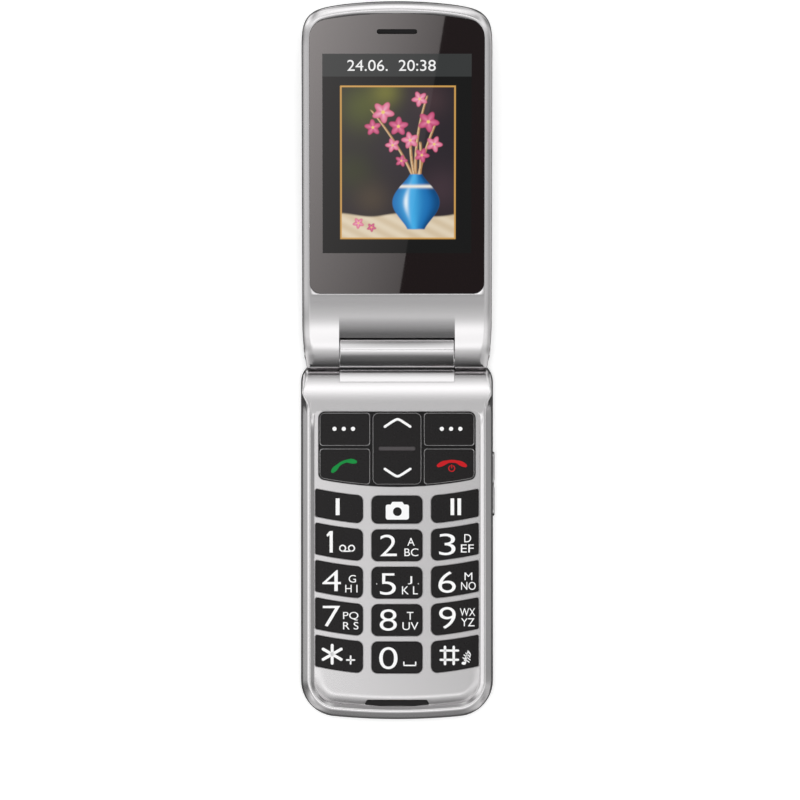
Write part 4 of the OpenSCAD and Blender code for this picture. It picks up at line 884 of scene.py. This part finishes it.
# The first text of each key is the large one, drawn a little thinner. Each has its box: x0, x1, d0, d1
THINNER = -0.008
LETTERING = {
    "key_2": [("2", -4.7, -0.05, 50.01, 55.95), ("A", 2.85, 4.88, 50.89, 53.05),
              ("BC", 2.04, 5.89, 53.79, 55.95)],
    "key_3": [("3", 11.62, 16.14, 49.74, 55.68), ("D", 18.57, 20.46, 49.88, 52.11),
              ("EF", 17.63, 21.2, 52.71, 54.94)],
    "key_4": [("4", -20.63, -15.5, 59.8, 65.6), ("G", -13.34, -11.32, 61.15, 63.24),
              ("H I", -14.28, -10.91, 63.84, 65.94)],
    "key_5": [("5", -4.7, -0.32, 60.67, 66.61), ("J", 2.99, 4.2, 61.48, 63.71),
              ("K L", 1.37, 5.75, 64.25, 66.48)],
    "key_6": [("6", 11.42, 16.21, 60.13, 66.07), ("M", 18.64, 20.8, 60.47, 62.56),
              ("NO", 17.69, 21.74, 63.04, 65.26)],
    "key_7": [("7", -20.49, -15.7, 69.65, 75.38), ("PQ", -14.89, -10.64, 71.33, 73.7),
              ("R S", -14.89, -10.64, 74.1, 76.19)],
    "key_8": [("8", -4.77, -0.05, 70.59, 76.53), ("T", 2.72, 4.54, 71.33, 73.49),
              ("UV", 1.5, 5.89, 74.17, 76.33)],
    "key_9": [("9", 11.62, 16.21, 69.98, 75.99), ("WX", 17.36, 21.61, 70.32, 72.48),
              ("YZ", 17.69, 21.41, 73.09, 75.31)],
    "key_0": [("0", -4.91, 0.15, 81.05, 87.12)],
}
DRAWN = {
    "key_1": [patch([[-18.55, 49.0], [-17.73, 49.0], [-17.73, 54.94], [-18.6, 54.94], [-18.6, 50.15],
                     [-19.25, 50.6], [-19.45, 50.0]]),
              *(stroke(circle(x, 53.75, 0.8, 36), 0.36, True) for x in (-15.0, -12.55)),
              *lines((-15.0, 54.58, -12.55, 54.58, 0.36))],
    "key_5": [disc(-5.6, 63.58, 0.14), disc(5.9, 63.58, 0.14)],
    "key_star": lines((-17.9, 80.55, -17.9, 85.5, 0.8), (-20.4, 81.6, -15.4, 84.45, 0.8),
                      (-20.4, 84.45, -15.4, 81.6, 0.8), (-13.85, 84.6, -11.75, 84.6, 0.45),
                      (-12.8, 83.55, -12.8, 85.65, 0.45)),
    "key_0": lines((1.9, 85.2, 1.9, 86.1, 0.36), (1.9, 86.1, 5.15, 86.1, 0.36), (5.15, 86.1, 5.15, 85.2, 0.36)),
    "key_hash": [*lines((13.25, 81.0, 13.25, 85.7, 0.7), (15.65, 81.0, 15.65, 85.7, 0.7),
                        (12.05, 82.0, 16.85, 82.0, 0.62), (12.05, 84.55, 16.85, 84.55, 0.62)),
                 disc(18.45, 85.5, 0.62, 0.42),
                 *lines((18.95, 85.35, 19.6, 82.1, 0.3), (19.6, 82.1, 20.25, 83.0, 0.34),
                        (20.25, 83.0, 20.1, 83.9, 0.26), (18.5, 83.2, 20.2, 84.6, 0.28),
                        (19.0, 82.7, 20.0, 83.6, 0.28), (18.2, 84.0, 19.9, 85.2, 0.28),
                        (18.75, 84.7, 19.45, 83.0, 0.55))],
    "memory_key_1": [patch(rect(-16.92, -15.84, 40.0, 44.62, 0.05))],
    "memory_key_2": [patch(rect(x0, x1, 40.0, 44.62, 0.05)) for x0, x1 in ((14.79, 15.78), (16.7, 17.69))],
    "camera_key": [patch(split_long(rounded([[-3.1, 41.7], [-1.75, 41.7], [-1.3, 40.95], [1.5, 40.95],
                                             [1.95, 41.7], [3.3, 41.7], [3.3, 45.85], [-3.1, 45.85]],
                                            [0.55, 0.15, 0.4, 0.4, 0.15, 0.55, 0.6, 0.6], 5), 0.8),
                         disc(0.1, 43.65, 1.22)[0])]}
for key in sorted(set(LETTERING) | set(DRAWN)):
    shapes = [glyphs(*row, 0.0 if i else THINNER) for i, row in enumerate(LETTERING.get(key, []))]
    ink(key + "_print", key + "_body", shapes + DRAWN.get(key, []), GRID_LIFT)
for key, x in (("soft_key_left", -14.69), ("soft_key_right", 14.93)):
    ink(key + "_print", key + "_body", [disc(x + step, 20.8, 0.58) for step in (-2.56, 0, 2.56)])
ink("nav_print", "nav_rocker_body", [chevron(20.19, 18.17), chevron(31.87, 33.89)])
ink("call_print", "call_key_body", [handset([(-17.75, 32.5), (-16.81, 31.5), (-15.66, 30.45), (-14.25, 29.8),
                                             (-12.98, 29.68), (-11.5, 29.9)])], material=green_ink)
ink("end_print", "end_key_body", [
    handset([(11.45, 30.95), (12.81, 30.3), (14.09, 29.86), (15.11, 29.75), (16.38, 29.88), (17.53, 30.3),
             (18.85, 30.95)]),
    stroke(arc((15.11, 31.72), 0.82, -60, 240, 36), 0.26), *lines((15.11, 30.75, 15.11, 31.6, 0.26))],
    material=red_ink)

# ---- the display's picture, seen through the window ----
SCREEN_HALF, SCREEN_LOW, SCREEN_TOP, BAR_LOW = 20.43, 28.7, 84.9, 78.55
FRAME_BOX = (-15.35, 15.9, 32.9, 75.76)
# Out of focus foliage: middle, size, colour and strength
FOLIAGE = [(-9, 70, 7, "#5B6130", 0.8), (-3, 74, 4, "#84833A", 0.7), (12, 47, 6, "#46383F", 0.9),
           (-12, 52, 6, "#3C4029", 0.8), (9, 72, 5, "#4A3A3E", 0.9), (2, 61, 8, "#3A3238", 0.8),
           (-7, 44, 5, "#54483A", 0.7)]
# Twigs that start at one height: place there, lean, bend, and height of the tip
TWIGS_FROM = 50
TWIGS = [(4.6, -0.42, -0.010, 69), (5.2, -0.05, 0.008, 73), (5.8, 0.22, 0.006, 66), (5.0, -0.25, 0.012, 62),
         (6.2, 0.12, -0.010, 60)]
# Blossoms: middle, size, turn, and whether it is a pale one
BLOSSOMS = [(-3.8, 68.5, 3.1, 0.2, 1), (0.4, 64.5, 2.7, 1.0, 0), (-6.6, 64.2, 2.3, 2.1, 0),
            (6.2, 72.2, 2.2, 0.5, 1), (8.6, 65.8, 3.0, 1.4, 0), (3.6, 60.6, 2.4, 0.7, 1),
            (-1.2, 59.2, 2.0, 1.9, 1), (10.2, 59.5, 2.3, 2.6, 1), (6.8, 56.4, 2.1, 0.1, 0),
            (1.2, 54.8, 1.7, 1.2, 0), (-10.6, 37.2, 1.6, 0.4, 1), (-7.0, 36.0, 1.3, 1.5, 0)]
PETALS = {0: ("#EE86AB", "#B93A68"), 1: ("#F9B9CF", "#D9547F")}
VASE_X, VASE_LOW, VASE_HIGH = 5.2, 35.5, 15.5


def soft(value, edge, width):
    """Nought below the edge and one above it, eased over the width."""
    return eased(value, edge - width / 2, edge + width / 2)


def lay(image, code, cover):
    """Paint a colour over the image where the cover is."""
    image += (np.array(linear(code)[:3]) - image) * np.asarray(cover)[..., None]


def blossom(image, x, u, cx, cu, size, turn, pale):
    """A flower of five round petals: its edge runs in and out with the cosine of five times the angle."""
    light, dark = PETALS[pale]
    r, wave = np.hypot(x - cx, u - cu), np.cos(5 * (np.arctan2(u - cu, x - cx) + turn))
    edge = size * (0.8 + 0.2 * wave)
    cover = 1 - soft(r, edge, 0.5)
    lay(image, dark, cover)
    lay(image, light, cover * np.clip(1.05 - r / edge, 0, 1) ** 0.7 * (0.75 + 0.25 * wave))
    lay(image, "#F2D27A", 1 - soft(r, size * 0.16, 0.3))


def framed_picture(x, u):
    """A blue vase with blossom twigs on a pale cloth, in a dark room."""
    image = np.zeros(x.shape + (3,))
    lay(image, "#302B30", 1.0)
    for cx, cu, size, code, most in FOLIAGE:
        lay(image, code, most * np.exp(-((x - cx) ** 2 + (u - cu) ** 2) / size ** 2))
    cloth = 1 - soft(u, 39.5 + 0.5 * np.sin(x * 0.35 + 1), 0.8)
    lay(image, "#D9C6A8", cloth)
    lay(image, "#F2E6CF", cloth * np.clip(0.5 + 0.5 * np.sin(x * 0.9 + u * 1.7), 0, 1) * 0.5)
    h = u - TWIGS_FROM
    for base, lean, bend, top in TWIGS:
        at = base + lean * h + bend * h * h
        on = (1 - soft(np.abs(x - at), 0.38 - 0.006 * h, 0.3)) * soft(h, 0, 0.5) * (1 - soft(u, top, 0.8))
        lay(image, "#B98A5C", on)
        lay(image, "#E2C196", on * (x < at))
    # Vase: its half width swells between foot and neck
    h = (u - VASE_LOW) / VASE_HIGH
    half = 2.4 + 4.4 * np.sin(np.clip(h, 0, 1) * math.pi) ** 1.3 - 0.7 * h
    on = (1 - soft(np.abs(x - VASE_X), half, 0.4)) * soft(h, 0, 0.03) * (1 - soft(h, 1, 0.03))
    side = (x - VASE_X) / half
    lay(image, "#1E6FB4", on)
    lay(image, "#49B2EC", on * np.exp(-((side + 0.25) / 0.45) ** 2))
    lay(image, "#E8F6FF", on * np.exp(-((side + 0.42) / 0.1) ** 2 - ((h - 0.5) / 0.22) ** 2))
    lay(image, "#123F6E", on * soft(side, 0.7, 0.5) * 0.8)
    lay(image, "#F4EFE4", on * np.exp(-((h - 0.78) / 0.03) ** 2))
    for row in BLOSSOMS:
        blossom(image, x, u, *row)
    return image


def screen_image(x, u):
    """The screen: a bar for the clock over the framed picture."""
    image = np.zeros(x.shape + (3,))
    lay(image, "#1C1C1C", 1.0)
    x0, x1, u0, u1 = FRAME_BOX
    beyond = np.maximum(np.maximum(x0 - x, x - x1), np.maximum(u0 - u, u - u1))
    image[beyond < 0] = framed_picture(x, u)[beyond < 0]
    lay(image, "#D7A55A", 1 - soft(np.abs(beyond), 0.22, 0.16))
    lay(image, "#3B3D3D", (u > BAR_LOW).astype(float))
    return image


def colour_points(piece, layer, colours):
    """A colour for each point of a piece, in a named layer."""
    rgba = np.c_[colours.reshape(-1, 3), np.ones(colours.size // 3)]
    piece.data.color_attributes.new(layer, "FLOAT_COLOR", "POINT").data.foreach_set("color", rgba.reshape(-1))


# The display is dark glass that shows its points' colours, and the clock glows white
DARK, GLASS_LEVEL = "#020202", 0.045
lit = finish("lit_display", DARK, 0.012, Emission_Strength=0.92, Specular_IOR_Level=GLASS_LEVEL)
seen = add(lit.node_tree, "ShaderNodeAttribute", {"attribute_name": "picture"}).outputs["Color"]
lit.node_tree.links.new(seen, lit.node_tree.nodes["Principled BSDF"].inputs["Emission Color"])
glow = finish("lit_white", DARK, 0.05, Emission_Color=(1, 1, 1, 1), Emission_Strength=0.9,
              Specular_IOR_Level=GLASS_LEVEL)
across, along = 261, 357
x, u = np.meshgrid(np.linspace(-SCREEN_HALF, SCREEN_HALF, across), np.linspace(SCREEN_LOW, SCREEN_TOP, along))
picture = new_piece("screen_picture", in_lid(x, u, np.full(x.shape, WINDOW_TOP + 0.012)),
                    grid_quads(along, across), "display", "lid", ["display_module"], material=lit)
colour_points(picture, "picture", screen_image(x, u))
clock, faces = glyphs("24.06.  20:38", -13.6, 10.6, -1.55, 1.55)
clock = clock * [1, -1] + [0, (SCREEN_TOP + BAR_LOW) / 2 - 0.1]
new_piece("screen_clock", level(in_lid, clock, WINDOW_TOP + 0.03), faces, "display", "lid", material=glow)

# ---- the other pieces keep their CAD shape ----
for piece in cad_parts.values():
    materials = piece.data.materials
    look = LOOKS.get(materials[0].name.split(".")[0]) if materials else None
    if look:
        materials.clear()
        materials.append(look)


# ---- stage ----
def bare(block):
    """The emptied node tree of a material or world."""
    block.use_nodes = True
    block.node_tree.nodes.clear()
    return block.node_tree


def staged(name, points, faces, material):
    """A mesh of the studio, from points in mm."""
    piece = mesh_object(name, points, faces)
    piece.data.materials.append(material)
    piece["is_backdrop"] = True
    return piece


# White paper to the camera, grey to light, and nearly black where metal mirrors it
floor_look = bpy.data.materials.new("paper_floor")
tree = bare(floor_look)
path = add(tree, "ShaderNodeLightPath")
seen = add(tree, "ShaderNodeMath", {"operation": "MAXIMUM"}, i0=path.outputs["Is Camera Ray"],
           i1=path.outputs["Is Transmission Ray"])
paper = add(tree, "ShaderNodeBsdfDiffuse", Color=(0.8, 0.8, 0.8, 1)).outputs[0]
glow = add(tree, "ShaderNodeEmission", Color=(1, 1, 1, 1), Strength=0.4).outputs[0]
both = add(tree, "ShaderNodeAddShader", i0=paper, i1=glow).outputs[0]
mixed = add(tree, "ShaderNodeMixShader", i0=seen.outputs[0], i1=paper, i2=both).outputs[0]
flag = add(tree, "ShaderNodeBsdfDiffuse", Color=(0.06, 0.06, 0.06, 1)).outputs[0]
mixed = add(tree, "ShaderNodeMixShader", i0=path.outputs["Is Glossy Ray"], i1=mixed, i2=flag)
add(tree, "ShaderNodeOutputMaterial", Surface=mixed.outputs[0])
FLOOR_HALF, floor_z = 3000, cad_box[0][2] * 1000
staged("floor", [(x * FLOOR_HALF, y * FLOOR_HALF, floor_z) for x, y in ((-1, -1), (1, -1), (1, 1), (-1, 1))],
       [(0, 1, 2, 3)], floor_look)


def seen_by_reflection(x, u, far):
    """Where the camera's ray by way of the glass at (x, u) meets a plane that faces the glass, far away."""
    normal = np.array([0, -math.sin(LEAN), math.cos(LEAN)])
    middle, start = in_lid(0.0, 56.0, WINDOW_TOP), in_lid(x, u, WINDOW_TOP)
    back, ray = (way - 2 * (way @ normal) * normal for way in (unit(middle - EYE), unit(start - EYE)))
    return start + ray * (far - (start - middle) @ back) / (ray @ back)


# A softbox that only the display window mirrors: its straight edge crosses the glass from top to bottom
card_look = bpy.data.materials.new("softbox")
tree = bare(card_look)
shade_of = add(tree, "ShaderNodeAttribute", {"attribute_name": "strength"}).outputs["Color"]
glow = add(tree, "ShaderNodeEmission", Color=shade_of, Strength=1.0).outputs[0]
clear = add(tree, "ShaderNodeBsdfTransparent").outputs[0]
add(tree, "ShaderNodeOutputMaterial", Surface=add(tree, "ShaderNodeAddShader", i0=glow, i1=clear).outputs[0])
CARD_FAR, CARD_STEPS = 600, 12
near_left, far_left, far_right, near_right = (
    seen_by_reflection(*at, CARD_FAR) for at in ((-2.0, 0.6), (14.0, 101.0), (-26.0, 101.0), (-26.0, 0.6)))
steps = np.linspace(0, 1, CARD_STEPS)
v, h = (share[..., None] for share in np.meshgrid(steps, steps, indexing="ij"))
near, far = (1 - h) * near_left + h * near_right, (1 - h) * far_left + h * far_right
card = staged("softbox", (1 - v) * near + v * far, grid_quads(CARD_STEPS, CARD_STEPS), card_look)
strength = 2 * ((1 - v) * (1.5 + 1.6 * h) + v * (2.3 + 4.6 * h))
colour_points(card, "strength", strength * [1, 0.94, 0.93])
card.visible_camera = card.visible_diffuse = card.visible_transmission = card.visible_shadow = False
card.visible_volume_scatter = False
receivers = bpy.data.collections.new("mirrors_softbox")
for piece in (picture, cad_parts["display_window"]):
    receivers.objects.link(piece)
card.light_linking.receiver_collection = receivers

# The studio round the phone, as the light that comes from each direction: strip lights and softboxes, each a
# bell over the direction's x and y. By the bell's spreads along x and y: its middle x and y, and its strength
STUDIO = {
    (0.18, 0.08): [(0, 0.2, 1.46), (0, -0.2, 1.15), (0.75, -0.6, 0.85), (-0.25, 0.9, 0.8),
                   (-0.75, 0, 0.76), (-0.75, -0.5, 0.76), (-0.5, -0.2, 0.69), (-0.25, 0.5, 0.65),
                   (0.25, -0.2, 0.61), (0.25, 0.4, 0.51), (0.25, -0.4, 0.5), (-0.25, -0.1, 0.47),
                   (-0.25, 0.4, 0.46), (-0.25, -0.4, 0.43), (0.75, -0.2, 0.36), (0, 0.3, 0.29),
                   (-0.25, 0.1, 0.27), (0.25, 0.2, 0.22), (0, -0.4, 0.15), (0, -0.7, 0.09)],
    (0.12, 0.3): [(-0.72, 0.2, 0.9), (-0.86, 0.5, 0.71), (0.26, 0.8, 0.67), (0.54, -0.1, 0.59),
                  (0.96, -0.4, 0.5), (0.96, 0.5, 0.47), (0.54, 0.2, 0.43), (-0.3, 0.8, 0.4),
                  (-0.3, 0.2, 0.37), (-0.3, -0.1, 0.24), (0.26, 0.5, 0.22), (-0.02, -1, 0.07)],
    (0.5, 0.08): [(1, 0.44, 0.52), (-1, -0.44, 0.36), (0, -0.12, 0.26), (0.5, -0.52, 0.2)]}
DIMMEST = 0.02
world = bpy.data.worlds.new("studio")
bpy.context.scene.world = world
tree = bare(world)
way = add(tree, "ShaderNodeTexCoord").outputs["Generated"]
total = 0.0
for (wide_x, wide_y), bells in STUDIO.items():
    for mid_x, mid_y, strength in bells:
        off = add(tree, "ShaderNodeVectorMath", {"operation": "MULTIPLY_ADD"}, i0=way,
                  i1=(1 / wide_x, 1 / wide_y, 0), i2=(-mid_x / wide_x, -mid_y / wide_y, 0)).outputs[0]
        dot = add(tree, "ShaderNodeVectorMath", {"operation": "DOT_PRODUCT"}, i0=off, i1=off).outputs["Value"]
        bell = add(tree, "ShaderNodeMath", {"operation": "POWER"}, i0=math.exp(-0.5), i1=dot).outputs[0]
        total = add(tree, "ShaderNodeMath", {"operation": "MULTIPLY_ADD"}, i0=bell, i1=strength,
                    i2=total).outputs[0]
total = add(tree, "ShaderNodeMath", {"operation": "MAXIMUM"}, i0=total, i1=DIMMEST).outputs[0]
camera_ray = add(tree, "ShaderNodeLightPath").outputs["Is Camera Ray"]
light = add(tree, "ShaderNodeBackground", Strength=total).outputs[0]
white = add(tree, "ShaderNodeBackground", Color=(1, 1, 1, 1), Strength=1.0).outputs[0]
mixed = add(tree, "ShaderNodeMixShader", i0=camera_ray, i1=light, i2=white).outputs[0]
add(tree, "ShaderNodeOutputWorld", Surface=mixed)

# A soft lamp beside the camera, which lights what is not metal and shows in no reflection
lamp = bpy.data.objects.new("lamp", bpy.data.lights.new("lamp", "SUN"))
lamp.data.energy, lamp.data.angle = 1.5, 0.3
lamp.visible_glossy = False
bpy.context.scene.collection.objects.link(lamp)

# A long lens: at 2500 mm away the picture is 220.8 mm wide
camera_data = bpy.data.cameras.new("camera")
camera_data.sensor_width, camera_data.lens = 36, 36 * 2500 / 220.8
camera_data.clip_start, camera_data.clip_end = 0.05, 20
camera = bpy.data.objects.new("camera", camera_data)
camera.location = (EYE * 0.001).tolist()
bpy.context.scene.collection.objects.link(camera)
camera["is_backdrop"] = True
bpy.context.scene.camera = camera
bpy.context.scene.view_settings.view_transform = "Standard"

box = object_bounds()
